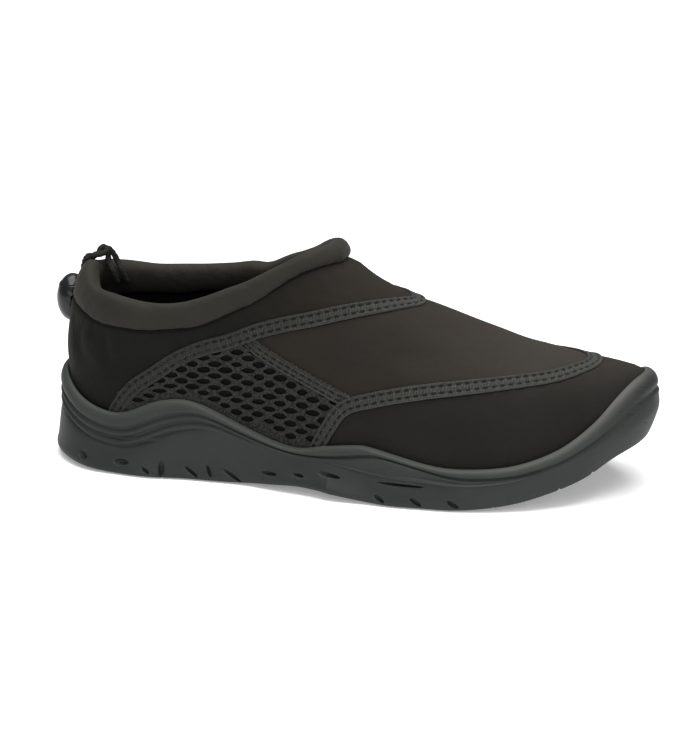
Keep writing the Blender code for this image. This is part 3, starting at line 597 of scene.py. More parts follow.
# Painted shade: the toe panel is painted darker still where it faces sideways rather than up.
side_shade = np.clip(SIDE_SHADE[0] - SIDE_SHADE[1] * facing[:, 2], 0, 1)
paint(upper, "toe", ((under_tape | (places[:, 0] > TOE_CAP_X)) & (places[:, 0] > toe_front)) * side_shade)
upper.data.materials.append(neoprene.material)
keep(upper, "neoprene", "upper")
skin = Cover(upper)

# %% [markdown]
# ## The sewn tapes
# Each seam is covered by a woven tape about 6.6 mm wide with a soft raised edge, held by two rows of
# stitches. A tape is a flat grid bent along its route, with a low crown across, thickened a little. Its
# own UV map runs in millimetres along and across it, so that the weave follows the tape.

# %% Weave the tape's finish
SLANT_PITCH, CORD_PITCH = 1.3, 0.75
TAPE_DARK, TAPE_LIGHT = (0.013, 0.013, 0.011), (0.072, 0.073, 0.064)
EDGE_CORD, EDGE_SPAN = (0.070, 0.071, 0.062), (1.6, 0.9)
TAPE_SHADE, PAINTED_SHADE_BLACK = (0.004, 0.004, 0.003), (0.003, 0.003, 0.003)
SHADE_SPAN = (125, 25)
tape_finish = Finish("tape_weave", Sheen_Weight=0.06, Sheen_Roughness=0.5, Specular_IOR_Level=0.12,
                     Roughness=0.85)
weave_uv = tape_finish.node("UVMap", {}, {})
along, across, _ = tape_finish.parts(weave_uv)
ragged = tape_finish.noise(tape_finish.place(), 0.55, 2.0) * 8.0
sway = (across * 2.6).wave() * 2.6 - 1.3
slant = (along * 2 * math.pi / SLANT_PITCH + sway + ragged).wave()
cords = (across * 2 * math.pi / CORD_PITCH).wave()
fuzz = tape_finish.noise(tape_finish.place(), 1.3, 5.0, 0.7)
weave = slant * 0.2 + cords * 0.12 + fuzz * 1.05
low_cord = across.between(*EDGE_SPAN) * 0.55
pit_and_edge_shade_mask = tape_finish.painted("pit_and_edge_shade")
tape_colour = tape_finish.blend(weave.between(0.4, 1.0), TAPE_DARK, TAPE_LIGHT)
tape_colour = tape_finish.blend(low_cord, tape_colour, EDGE_CORD)
dimmed = tape_finish.parts(tape_finish.place())[0].between(*SHADE_SPAN) * 0.42
tape_colour = tape_finish.blend(dimmed, tape_colour, TAPE_SHADE)
# Painted shade from the stitch dips and the tape's edges darkens the weave.
tape_finish.look(Base_Color=tape_finish.blend(pit_and_edge_shade_mask, tape_colour, PAINTED_SHADE_BLACK),
                 Normal=tape_finish.raised(weave, 0.0003))

# %% Bend the tapes onto the upper
TAPE_WIDTH, NET_TAPE_WIDTH = 6.6, 4.8
STITCH_PITCH, STITCH_LENGTH = 3.7, 2.3
STITCH_SHARE, STITCH_VALLEY, STITCH_PULL = 0.24, 0.075, 0.42
TAPE_STEP, TAPE_CLOTH = 0.5 * MM, 0.35 * MM
LOW_LIP, HIGH_EDGE = -0.505, 0.49
TAPE_PROFILE = {
    "across": (-0.61, -0.52, -0.50, -0.46, -0.38, -0.30, -0.24, -0.18, -0.09, 0.00,
               0.09, 0.18, 0.24, 0.30, 0.38, 0.46, 0.50, 0.50),
    "above":  (-0.10, 0.16, 0.60, 1.05, 1.20, 0.98, 0.78, 0.90, 1.08, 1.12,
               1.08, 0.90, 0.78, 0.98, 1.20, 1.05, 0.60, -0.30),
}


def bend_strip(name, route, width, profile, tucks=(0, 0)):
    """A grid bent along a route, with a UV map in millimetres, dips where the stitches pull, and painted
    shade in the dips and along its edges.
    """
    count = len(route.places)
    columns = len(profile["across"])
    bpy.ops.object.select_all(action="DESELECT")
    bpy.ops.mesh.primitive_grid_add(x_subdivisions=columns - 1, y_subdivisions=count - 1, calc_uvs=True)
    strip = bpy.context.object
    strip.name = strip.data.name = name
    run = np.arange(count) * route.step / MM
    tuck = (np.clip(run / max(tucks[0], 0.01), 0.15, 1)
            * np.clip((run[-1] - run) / max(tucks[1], 0.01), 0.15, 1))
    pull = np.clip(0.5 + 1.6 * np.cos(2 * math.pi * run / STITCH_PITCH), 0, 1)
    rows, dark = [], []
    for share, height in zip(*profile.values()):
        valley = math.exp(-((abs(share) - STITCH_SHARE) / STITCH_VALLEY)**2)
        rows.append(route.off(share * width * MM, (height - STITCH_PULL * valley * pull) * tuck * MM))
        # Painted shade: the stitch dips are painted dark, and the low lip and the high edge darker still,
        # as the shadow under the tape's edges.
        dark.append(valley * (0.1 + 0.9 * pull) + (share < LOW_LIP) + 0.6 * (share > HIGH_EDGE))
    move_points(strip, np.stack(rows, axis=1).reshape(-1, 3))
    paint(strip, "pit_and_edge_shade", np.clip(np.stack(dark, axis=1), 0, 1).ravel())
    sheet = strip.data.uv_layers[0].data
    flat = np.empty(len(sheet) * 2)
    sheet.foreach_get("uv", flat)
    flat = flat.reshape(-1, 2)
    flat = np.stack([flat[:, 1] * (count - 1) * route.step / MM, flat[:, 0] * width], axis=1)
    sheet.foreach_set("uv", flat.ravel())
    faced_out(strip)
    if np.mean(np.einsum("ij,ij->i", normals_of(strip)[columns // 2::columns], route.out)) < 0:
        edit(strip, bpy.ops.mesh.flip_normals)
    return finished(strip, "SOLIDIFY", thickness=TAPE_CLOTH, offset=-1)


def tape(name, table, node, width=TAPE_WIDTH, tucks=(0, 0)):
    """One sewn tape from its route."""
    strip = bend_strip(name, Route(table, TAPE_STEP, skin), width, TAPE_PROFILE, tucks)
    strip.data.materials.append(tape_finish.material)
    return keep(strip, "tape_webbing", node)


tape("quarter_tape_woven", QUARTER_ROUTE, "quarter_tape")
tape("toe_tape_woven", TOE_ROUTE, "toe_tape")
tape("net_tape_woven_lateral", NET_ROUTE, "net_tape_lateral", NET_TAPE_WIDTH, (7, 6))
tape("net_tape_woven_medial", mirrored(NET_ROUTE), "net_tape_medial", NET_TAPE_WIDTH, (7, 6))

# %% [markdown]
# ## Stitches
# One stitch is a short fat thread, modelled once. A row of stitches is many copies of it, turned to
# follow the seam and joined into one mesh, so that each row is real and still light.

# %% Lay the stitches
bpy.ops.object.select_all(action="DESELECT")
bpy.ops.mesh.primitive_uv_sphere_add(segments=8, ring_count=6, radius=0.5)
thread_shape = bpy.context.object
thread_points = points_of(thread_shape)[:, [2, 0, 1]]
thread_faces = [tuple(face.vertices) for face in thread_shape.data.polygons]
bpy.data.objects.remove(thread_shape)
STITCH_SIZE, STITCH_LIFT = np.array([STITCH_LENGTH, 0.8, 0.46]) * MM, 0.42 * MM
THREAD_DARK, THREAD_LIGHT = (0.006, 0.006, 0.005), (0.016, 0.016, 0.014)
thread_finish = Finish("stitch_thread", Roughness=0.8, Specular_IOR_Level=0.1, Sheen_Weight=0.03)
twist = thread_finish.noise(thread_finish.place(), 2.5)
thread_finish.look(Base_Color=thread_finish.blend(twist, THREAD_DARK, THREAD_LIGHT),
                   Normal=thread_finish.raised(twist, 0.0001))


def sewn(name, rows, finish=thread_finish):
    """Many stitches in one mesh: each row gives middles, directions along and out, and a size."""
    verts, faces = [], []
    for middles, alongs, outs, size in rows:
        for middle, along, out in zip(middles, alongs, outs):
            side = np.cross(out, along)
            shape = thread_points * size
            first = len(verts)
            verts.extend(middle + shape[:, :1] * along + shape[:, 1:2] * side + shape[:, 2:3] * out)
            faces.extend(tuple(first + corner for corner in face) for face in thread_faces)
    return keep(faced_out(made(name, verts, faces, finish)), "tape_webbing")


def row_beside(table, across):
    """One row of stitches beside a route."""
    route = Route(table, STITCH_PITCH * MM, skin)
    return route.off(across * MM, STITCH_LIFT), route.along, route.out, STITCH_SIZE


for name, table, width in (("quarter_stitches", QUARTER_ROUTE, TAPE_WIDTH),
                           ("toe_stitches", TOE_ROUTE, TAPE_WIDTH),
                           ("net_stitches_lateral", NET_ROUTE, NET_TAPE_WIDTH),
                           ("net_stitches_medial", mirrored(NET_ROUTE), NET_TAPE_WIDTH)):
    sewn(name, [row_beside(table, side * STITCH_SHARE * width) for side in (-1, 1)])

# %% [markdown]
# The edge of the tape above the net is overlocked: loose zigzag threads stand up along it. Each is a
# thin thread laid at an angle, a little different from the last.

# %% Let the loose threads stand up
FLUFF_PITCH, FLUFF_LENGTHS, FLUFF_THICK = 0.42 * MM, (1.9, 1.4, 2.3), 0.17
FLUFF_BESIDE, FLUFF_LIFT = 0.25, 0.75 * MM
FLUFF_DARK, FLUFF_LIGHT = (0.030, 0.031, 0.027), (0.115, 0.116, 0.104)
fluff_finish = Finish("loose_thread", Roughness=0.8, Specular_IOR_Level=0.2)
fluff_tone = fluff_finish.noise(fluff_finish.place(), 0.9)
fluff_finish.look(Base_Color=fluff_finish.blend(fluff_tone, FLUFF_DARK, FLUFF_LIGHT))


def loose_threads(name, table):
    """Zigzag threads along the upper edge of a tape."""
    route = Route(table, FLUFF_PITCH, skin)
    count = len(route.places)
    upward = np.sign(np.mean(route.side[:, 2]))
    lean = np.where(np.arange(count) % 2, 1, -1) * rng.uniform(0.3, 1.1, count)
    ahead = unit(route.side * upward + route.along * lean[:, None]
                 + route.out * rng.uniform(0.1, 0.6, (count, 1)))
    middles = (route.off(upward * (NET_TAPE_WIDTH / 2 + FLUFF_BESIDE) * MM, FLUFF_LIFT)
               + ahead * rng.uniform(-0.2, 0.5, (count, 1)) * MM)
    out = unit(route.out - ahead * np.sum(route.out * ahead, axis=1)[:, None])
    every = len(FLUFF_LENGTHS)
    rows = [(middles[k::every], ahead[k::every], out[k::every],
             np.array([length, FLUFF_THICK, FLUFF_THICK]) * MM) for k, length in enumerate(FLUFF_LENGTHS)]
    sewn(name, rows, fluff_finish)


loose_threads("net_tape_threads_lateral", NET_ROUTE)
loose_threads("net_tape_threads_medial", mirrored(NET_ROUTE))

# %% [markdown]
# ## The net
# The sides of the shoe drain through a coarse net: long oval holes in staggered rows, in a thick knit.
# One ring of net round a hole is modelled once and copied over the panel while it is still flat, each
# hole a little different. The panel is laid on the upper and then thickened. Its edges end under the
# tapes and behind the lip of the sole, where a band of it is plain.

# %% Knit the net
NET_LIGHT, NET_DARK = (0.030, 0.031, 0.027), (0.011, 0.011, 0.010)
LOOP_SCALE, LOOP_DEPTH = 0.9, 0.00035
net_finish = Finish("net_knit", Roughness=0.8, Sheen_Weight=0.04, Sheen_Roughness=0.5,
                    Specular_IOR_Level=0.15)
net_place = net_finish.place()
loops = net_finish.cells(net_place, LOOP_SCALE)
net_finish.look(Base_Color=net_finish.blend(loops.between(0.2, 0.8), NET_LIGHT, NET_DARK),
                Normal=net_finish.raised(1 - loops, LOOP_DEPTH))
HOLE_PITCH = (10.0, 5.8)
HOLE_SIZE = (6.0, 3.0)
HOLE_JITTER = 0.16
NET_THICKNESS = 0.8
PLAIN_BAND, SOLE_SLACK = 3.0, 4.2
UNDER_TAPE, TOE_TAPE_START = 0.2, 12
NET_SPAN = ((-16, 96), (8, 80))
CELL_CORNERS, HOLE_SQUASH = 16, 0.45
SQUEEZE = {"pivot": 25, "heel": 0.82, "more": 0.2, "length": 90}
OUTSIDE, HALF_WIDTH = 0.1, 0.03
WELD = 0.12


def net_cell():
    """One ring of net: the hole's edge inside and half-way to the next holes outside."""
    corners, half_x, half_y = [], HOLE_PITCH[0] / 2, HOLE_PITCH[1] / 2
    for k in range(CELL_CORNERS):
        angle = 2 * math.pi * k / CELL_CORNERS
        ray = np.array([math.cos(angle) * HOLE_SIZE[0] / 2, math.sin(angle) * HOLE_SIZE[1] / 2])
        reach = 1 / max(abs(ray[0]) / half_x + abs(ray[1]) / half_y, 1e-9)
        hole = ray * (1, abs(math.sin(angle)) ** HOLE_SQUASH)
        corners.append((hole, ray * reach))
    return corners


def inside_tapes(x, z, side):
    """Whether a place in the side view lies between the tapes that hold the net."""
    route, half = quarter_line.places / MM, len(quarter_line.places) // 2
    line = route[:half] if side < 0 else route[half:]
    order = np.argsort(line[:, 0])
    top = np.interp(x, line[order, 0], line[order, 2])
    front = net_line.places / MM
    if x > front[0, 0]:
        top = min(top, np.interp(x, front[:, 0], front[:, 2]))
    toe = toe_line.places[:TOE_TAPE_START] / MM
    edge = np.interp(z, toe[:, 2], toe[:, 0])
    return z <= top + UNDER_TAPE and x <= edge + UNDER_TAPE


def clear_of_sole(x, z, side, higher):
    """Whether the upper, a little higher than a place, is not hidden by the sole."""
    probe = Vector((x * MM, side * OUTSIDE, (z + higher) * MM))
    across = Vector((0, -side, 0))
    on_upper = skin.tree.ray_cast(probe, across)
    on_sole = sole_cover.tree.ray_cast(probe, across)
    return bool(on_upper[0]) and (not on_sole[0] or on_sole[3] > on_upper[3])


sole_cover = Cover(frame["nodes"]["outsole"])


def drawn_in(x, z):
    """The height of a place of the net: towards the heel its rows lie closer together."""
    share = SQUEEZE["heel"] + SQUEEZE["more"] * np.clip(x / SQUEEZE["length"], 0, 1)
    return SQUEEZE["pivot"] + (z - SQUEEZE["pivot"]) * share


def net_panel(name, side, node):
    """The net on one side of the shoe."""
    cell = net_cell()
    verts, faces = [], []
    row = 0
    for z in np.arange(NET_SPAN[1][0], NET_SPAN[1][1], HOLE_PITCH[1] / 2):
        start = NET_SPAN[0][0] + (row % 2) * HOLE_PITCH[0] / 2
        for x in np.arange(start, NET_SPAN[0][1], HOLE_PITCH[0]):
            height = drawn_in(x, z)
            if not (inside_tapes(x, height, side) and clear_of_sole(x, height, side, SOLE_SLACK)):
                continue
            plain = not clear_of_sole(x, height, side, -PLAIN_BAND)
            first = len(verts)
            wide, tall = 1 + rng.uniform(-HOLE_JITTER, HOLE_JITTER, 2)
            lean, slip = rng.uniform(-HOLE_JITTER, HOLE_JITTER, 2)
            for inner, outer_corner in cell:
                hole_x = x + inner[0] * wide + inner[1] * lean + slip
                hole_z = z + inner[1] * tall + slip * lean
                verts += [(hole_x, 0, hole_z), (x + outer_corner[0], 0, z + outer_corner[1])]
            count = len(cell)
            for k in range(count):
                a, b = first + 2 * k, first + 2 * ((k + 1) % count)
                faces.append((a, a + 1, b + 1, b))
            if plain:
                faces.append(tuple(first + 2 * k for k in reversed(range(count))))
        row += 1
    net = made(name, [(x * MM, 0, drawn_in(x, z) * MM) for x, _, z in verts], faces, net_finish)
    edit(net, lambda: bpy.ops.mesh.remove_doubles(threshold=WELD * MM))
    laid = []
    for place in points_of(net):
        hit = skin.tree.ray_cast(Vector((place[0], side * OUTSIDE, place[2])), Vector((0, -side, 0)))
        if not hit[0]:
            hit = skin.tree.find_nearest(Vector((place[0], side * HALF_WIDTH, place[2])))
        laid.append(hit[0])
    move_points(net, np.array(laid))
    faced_out(net)
    if np.mean(normals_of(net)[:, 1]) * side < 0:
        edit(net, bpy.ops.mesh.flip_normals)
    return keep(finished(net, "SOLIDIFY", thickness=NET_THICKNESS * MM, offset=1), "net", node)


net_panel("net_knit_lateral", -1, "net_lateral")
net_panel("net_knit_medial", 1, "net_medial")

# %% [markdown]
# ## The padded roll
# The collar is a fat soft roll: jersey round a foam core, sewn down along its lower edge. It is kept
# tight by its filling, so it has only short puckers at the seam and slow swells along it. These are
# modelled, because a roll this tight barely changes in a cloth simulation.

# %% Round and pucker the roll
BINDING_INWARD, BINDING_RADIUS = 1.4, 1.5
BINDING_CORNERS, BINDING_STEP = 8, 1.5 * MM
FAR_RISE, FAR_X, FAR_REACH = 1.8, 52, 9
GATHER, SWELL = 0.16 * MM, 0.22 * MM
GATHER_PITCH, GATHER_REACH = 7.8 * MM, 6.5 * MM
SWELL_PITCHES = (61 * MM, 34 * MM)
ROLL_DARK, ROLL_LIGHT = (0.018, 0.017, 0.013), (0.025, 0.023, 0.018)
roll_finish = Finish("roll_jersey", Sheen_Weight=0.05, Sheen_Roughness=0.45,
                     Sheen_Tint=(0.9, 0.88, 0.8, 1), Specular_IOR_Level=0.15)
roll_place = roll_finish.place()
roll_patches = roll_finish.noise(roll_place, 0.06)
roll_finish.look(Base_Color=roll_finish.blend(roll_patches.between(0.3, 0.7), ROLL_DARK, ROLL_LIGHT),
                 Roughness=0.66 + roll_patches * 0.1,
                 Normal=knit(roll_finish, roll_place, 8.0, 0.0001,
                             roll_finish.raised(roll_finish.noise(roll_place, 0.16), 0.0007)))
roll = smoothed(copied("collar_roll", "collar_roll_padded"), 3)
places, facing = points_of(roll), normals_of(roll)
near, run = distance_to(places, seam_line.places)
wander = np.interp(run, np.arange(0, 0.4, 0.02), rng.uniform(0.3, 1, 20))
gathers = (np.sin(2 * math.pi * run / GATHER_PITCH + 5 * wander) * wander
           * np.exp(-(near / GATHER_REACH)**2))
swells = (np.sin(2 * math.pi * run / SWELL_PITCHES[0])
          + 0.6 * np.sin(2 * math.pi * run / SWELL_PITCHES[1] + 2))
places = places + facing * (GATHER * gathers + SWELL * swells)[:, None]
far_side = np.clip(places[:, 1] / (12 * MM), 0, 1)
places[:, 2] += FAR_RISE * MM * far_side * np.exp(-((places[:, 0] / MM - FAR_X) / FAR_REACH)**2)
move_points(roll, places)
roll.data.materials.append(roll_finish.material)
keep(roll, "roll_knit", "collar_roll")

# %% [markdown]
# Roll and upper meet in a groove. A thin bound edge lies at its bottom and closes it from within; it is
# painted almost black as painted shade, so the groove reads dark.

# %% Bind the seam
seam = Route(SEAM_ROUTE, BINDING_STEP, skin)
level = unit(np.cross(seam.along, (0, 0, 1)))
binding_points, binding_faces = tube(seam.places - level * BINDING_INWARD * MM,
                                     np.cross(level, seam.along), level, BINDING_RADIUS * MM,
                                     BINDING_RADIUS * MM, BINDING_CORNERS)
binding = faced_out(made("collar_binding", binding_points, binding_faces, neoprene))
# Painted shade: the binding is painted with the almost black colour of the hidden places.
paint(binding, "hidden", np.full(len(binding_points), 0.9))
keep(binding, "neoprene")

# %% [markdown]
# ## The sole
# The sole is one moulding of dark grey-green rubber. Its copy keeps the ribbed wall of the cup, and
# everything below the lowest rib is made anew, because the edge of the tread is what the eye meets: a
# rounded edge drawn down ring by ring, a flat bottom, and slanted notches cut between the lugs. The
# lower wall then flares out along the heel and waist and is drawn in and softened at the toe.

# %% Draw the edge of the tread
EDGE = {
    "down":  (3.2, 5.1, 6.0),
    "inset": (0.0, 0.4, 1.7),
}
BOTTOM_RINGS = ((6.0, 9.0), (6.0, 15.0))
FLARE = {
    "x":   (-45, -20, 0, 20, 40, 60, 75, 90, 105, 125, 150, 175, 195, 208, 224),
    "out": (2.2, 4.6, 5.0, 3.6, 2.6, 4.2, 6.6, 7.2, 5.2, 2.4, 1.0, 0.8, 0.0, -3.2, -5.0),
}
FLARE_TOP, FLARE_TALL, FLARE_EASE = 14, 12, 1.4
BULGE, BULGE_LENGTH = 0.1, 4.5
SPINE = (0, 0.17)
BUMPER_X, BUMPER_TOP, BUMPER_TURNS = 0.206, 0.043, 3
TREAD = ((-45, 3.3), (-38, 2.6), (-27.8, 1.4), (-14.7, 0.3), (-8, 0), (43, 0), (63.4, 2.0),
         (74, 3.2), (89.5, 2.5), (110, 0), (147, 0), (167.7, 2.2), (185, 7), (193.7, 9.9),
         (206.8, 15.2), (224, 21))
CUT_HEIGHT, EDGE_DROP = 4.6, 6


def ground_at(x):
    """Height of the tread over the floor along the sole."""
    return np.interp(x, *(np.array(TREAD).T * MM))


sole = copied("outsole", "sole_rubber_cup")
shape = bmesh.new()
shape.from_mesh(sole.data)
low = [vert for vert in shape.verts if vert.co.z < ground_at(vert.co.x) + CUT_HEIGHT * MM]
bmesh.ops.delete(shape, geom=low, context="VERTS")
shape.to_mesh(sole.data)
shape.free()
print("wall kept:", len(sole.data.vertices), "points")
shape = bmesh.new()
shape.from_mesh(sole.data)
rim_edges = [edge for edge in shape.edges if edge.is_boundary]
ring = [rim_edges[0].verts[0]]
crossed = None
while len(ring) <= len(rim_edges):
    crossed = next(edge for edge in ring[-1].link_edges if edge.is_boundary and edge is not crossed)
    ring.append(crossed.other_vert(ring[-1]))
ring = ring[:-1]
plan = np.array([vert.co for vert in ring])
ahead = np.roll(plan, -1, axis=0) - np.roll(plan, 1, axis=0)
inward = unit(np.stack([-ahead[:, 1], ahead[:, 0], 0 * ahead[:, 0]], axis=1))
if np.sum(inward * (plan.mean(axis=0) - plan)) < 0:
    inward = -inward
tread = ground_at(plan[:, 0])
drop = plan[:, 2] - tread
for down, inset in [*zip(*EDGE.values()), *BOTTOM_RINGS]:
    below = plan + inward * inset * MM
    below[:, 2] = tread + drop * (1 - down / EDGE_DROP)
    row = [shape.verts.new(place) for place in below]
    for k in range(len(ring)):
        after = (k + 1) % len(ring)
        shape.faces.new((ring[k], ring[after], row[after], row[k]))
    ring = row
last_edges = [edge for edge in shape.edges if edge.is_boundary]
bmesh.ops.triangle_fill(shape, edges=last_edges, use_beauty=True)
bmesh.ops.recalc_face_normals(shape, faces=shape.faces)
shape.to_mesh(sole.data)
shape.free()
places = points_of(sole)
height = (places[:, 2] - ground_at(places[:, 0])) / MM
spine = np.stack([np.clip(places[:, 0], *SPINE), 0 * height, places[:, 2]], axis=1)
lowness = np.clip((FLARE_TOP - height) / FLARE_TALL, 0, 1) ** FLARE_EASE
flare = np.interp(places[:, 0] / MM, *FLARE.values())
flare *= 1 + BULGE * np.sin(places[:, 0] / (BULGE_LENGTH * MM))
move_points(sole, places + unit(places - spine) * (flare * lowness * MM)[:, None])
shape = bmesh.new()
shape.from_mesh(sole.data)
bumper = [vert for vert in shape.verts if vert.co.x > BUMPER_X and vert.co.z < BUMPER_TOP]
for _ in range(BUMPER_TURNS):
    bmesh.ops.smooth_vert(shape, verts=bumper, factor=0.5,
                          use_axis_x=True, use_axis_y=True, use_axis_z=True)
shape.to_mesh(sole.data)
shape.free()
smoothed(sole, 2, 1)
dressed_sole = Cover(sole)
print("sole:", len(sole.data.polygons), "faces")

# %% [markdown]
# The notches are cut with a handful of rounded cutters, joined into one: slanted grooves across the
# tread on each side of a plain middle strip, and the tapering notches that show in the wall.

# %% Cut the notches
GROOVE_PITCH, GROOVE_WIDTH, GROOVE_DEPTH, GROOVE_SLANT = 13.5, 3.6, 2.6, 24
GROOVE_LENGTH, GROOVE_SPAN, ARCH, TILT_RUN = 30, (-34, 205), (74, 92), 6
NOTCH_DEPTH = 3.8
WALL_NOTCHES = (
    (-26.5, 4.5, 9.5, 3.0, -20), (-7, 5.4, 7, 2.8, 0), (4.5, 3.0, 4.5, 1.8, -35), (11.5, 4.2, 2.6, 8.4, 4),
    (25, 3.6, 8, 1.7, -35), (33, 4.5, 6.0, 1.7, -68), (43.5, 3.6, 11, 1.7, -29), (60.5, 5, 10, 1.8, 0),
    (74.5, 4.8, 6, 1.6, -5), (88, 7.4, 15, 1.9, -6), (118, 9.6, 28, 1.3, 0), (112, 3, 6, 2, -30),
    (128, 3, 6, 2, -30), (144, 3, 6, 2, -30))


def rounded_cutter(place, size):
    """An egg-shaped cutter."""
    bpy.ops.mesh.primitive_uv_sphere_add(segments=14, ring_count=9, radius=0.5)
    cutter = bpy.context.object
    cutter.data.transform(place @ Matrix.Diagonal((*size, 1)))
    return cutter


def wall_place(x, height, side):
    """A place on the sole's wall, seen from the side."""
    aim = Vector((x * MM, side * OUTSIDE, ground_at(x * MM) + height * MM))
    hit = dressed_sole.tree.ray_cast(aim, Vector((0, -side, 0)))
    return hit[0] if hit[0] else Vector((aim.x, side * HALF_WIDTH, aim.z))


cutters = []
for side in (-1, 1):
    for x, height, length, tall, slant in WALL_NOTCHES:
        turn = Matrix.Rotation(math.radians(-slant), 4, "Y")
        spot = Matrix.Translation(wall_place(x, height, side))
        cutters.append(rounded_cutter(spot @ turn, Vector((length, NOTCH_DEPTH, tall)) * MM))
    for x in np.arange(*GROOVE_SPAN, GROOVE_PITCH):
        if ARCH[0] < x < ARCH[1]:
            continue
        behind, ground, ahead = ground_at(np.array((x - TILT_RUN, x, x + TILT_RUN)) * MM)
        turn = (Matrix.Rotation(-math.atan2(ahead - behind, 2 * TILT_RUN * MM), 4, "Y")
                @ Matrix.Rotation(-side * math.radians(GROOVE_SLANT), 4, "Z"))
        edge = wall_place(x, 2.0, side)
        spot = Matrix.Translation((x * MM, edge.y - side * GROOVE_LENGTH / 2 * MM, ground))
        size = Vector((GROOVE_WIDTH, GROOVE_LENGTH, 2 * GROOVE_DEPTH)) * MM
        cutters.append(rounded_cutter(spot @ turn, size))
bpy.ops.object.select_all(action="DESELECT")
for cutter in cutters:
    cutter.select_set(True)
bpy.context.view_layer.objects.active = cutters[0]
bpy.ops.object.join()
cutter = bpy.context.object
before = len(sole.data.polygons)
finished(sole, "BOOLEAN", operation="DIFFERENCE", object=cutter, solver="EXACT", use_self=True)
bpy.data.objects.remove(cutter)
print("notches cut:", before, "to", len(sole.data.polygons), "faces")

# %% [markdown]
# Rubber from a mould is even and softly shiny, with a faint grain. The bead along the top is painted paler
# where it faces up, a painted highlight that grows towards the toe, and the bumper at the toe is darker,
# with a few short scratches.

# %% Mix the rubber
RUBBER = (0.0160, 0.0192, 0.0172), (0.0212, 0.0252, 0.0224)
RUBBER_BLACK = (0.004, 0.005, 0.004)
BEAD_HIGHLIGHT = (0.058, 0.064, 0.056), (0.100, 0.100, 0.088)
BEAD_REACH = 6
rubber = Finish("sole_rubber", Specular_IOR_Level=0.3)
rubber_place = rubber.place()
along_x = rubber.parts(rubber_place)[0]
grain = rubber.noise(rubber_place, 3.2, 4.0, 0.6)
cloud = rubber.noise(rubber_place, 0.05)
bead_highlight = rubber.painted("bead_highlight")
dashes = rubber.noise(rubber.place((0.16, 0.16, 1.1)), 1.0, 1.0).between(0.66, 0.7)
scratches = along_x.between(205, 212) * dashes
moulded = rubber.blend(cloud.between(0.3, 0.7), *RUBBER)
moulded = rubber.blend(along_x.between(180, 212) * 0.42, moulded, RUBBER_BLACK)
# Painted highlight: the bead's colour is paler towards the toe.
bead_highlight_colour = rubber.blend(along_x.between(150, 205), *BEAD_HIGHLIGHT)
rubber.look(Base_Color=rubber.blend(bead_highlight, rubber.blend(scratches, moulded, RUBBER_BLACK), bead_highlight_colour),
            Roughness=0.5 + cloud * 0.15,
            Normal=rubber.raised(scratches * -1.0, 0.0005, rubber.raised(grain, 0.00006)))
sole.data.materials.clear()
sole.data.materials.append(rubber.material)
places, facing = points_of(sole), normals_of(sole)
from_rim = distance_to(places, drawn(RIM_ROUTE, LINE_STEP))[0]
beside_rim = np.clip(1 - from_rim / (BEAD_REACH * MM), 0, 1) ** 1.2
# Painted highlight: the bead is painted paler near the rim where it faces up.
paint(sole, "bead_highlight", beside_rim * np.clip(facing[:, 2] + 0.55, 0, 1))
keep(sole, "sole_rubber", "outsole")

# %% [markdown]
# ## The insole
# A thin foam sock lies on the floor of the cup. It is only seen through the collar, so its copy is
# rounded off and given a plain cloth top.

# %% Lay the insole
insole = smoothed(copied("insole", "insole_cloth"), 1)
CLOTH_BLACK = (0.0015, 0.0015, 0.0013), (0.003, 0.003, 0.0026)
insole_finish = Finish("insole_cloth", Roughness=0.9)
insole_place = insole_finish.place()
insole_finish.look(Base_Color=insole_finish.blend(insole_finish.noise(insole_place, 0.8), *CLOTH_BLACK),
                   Normal=knit(insole_finish, insole_place, 5.0, 0.0001))
insole.data.materials.append(insole_finish.material)
keep(insole, "insole_foam", "insole")

# %% [markdown]
# ## The pull cord
# Two strands of braided cord leave the lock, arch over the roll and go down inside the collar. Each
# braid is eight flat yarns wound in opposite directions, which pass over and under each other as they
# meet.

# %% Braid the cords
CORD_NEAR = (
    (-37.9, 7.6, 80.2), (-36.3, 5.7, 84.4), (-34.2, 3.8, 86.9), (-32, 2.2, 87.6),
    (-26.4, 2.9, 89.1), (-25.1, 4.6, 90.7), (-23.7, 6.4, 88.7), (-21.7, 7.5, 84.6),
    (-19.4, 5.7, 81.1), (-18.3, 7.9, 75.9), (-19.7, 11.8, 74.9))
CORD_FAR = (
    (-35.8, 11.3, 80.2), (-34.2, 9.3, 84.4), (-32.1, 7.5, 86.9), (-29.9, 5.9, 87.6),
    (-29.6, 5.6, 89.1), (-28.3, 7.3, 90.7), (-26.9, 9.1, 88.7), (-25, 4.9, 84.6),
    (-22.7, 3.1, 81.1), (-21.6, 5.3, 75.9), (-23, 9.3, 74.9))
CORD_RADIUS, YARNS, WIND, YARN = 1.3, 8, 5.2, (0.52, 0.24)
CORD_STEP, CORE_CORNERS, YARN_CORNERS, CORE_INSET = 0.3, 10, 6, 0.3
YARN_INSET, YARN_SWING = 0.18, 0.1
FIBRE = (0.007, 0.007, 0.006), (0.026, 0.0255, 0.022)
braid_finish = Finish("cord_braid", Roughness=0.7, Sheen_Weight=0.03, Sheen_Roughness=0.4,
                      Specular_IOR_Level=0.15)
fibre = braid_finish.noise(braid_finish.place((1, 1, 5)), 1.6)
braid_finish.look(Base_Color=braid_finish.blend(fibre, *FIBRE),
                  Normal=braid_finish.raised(fibre, 0.0001))


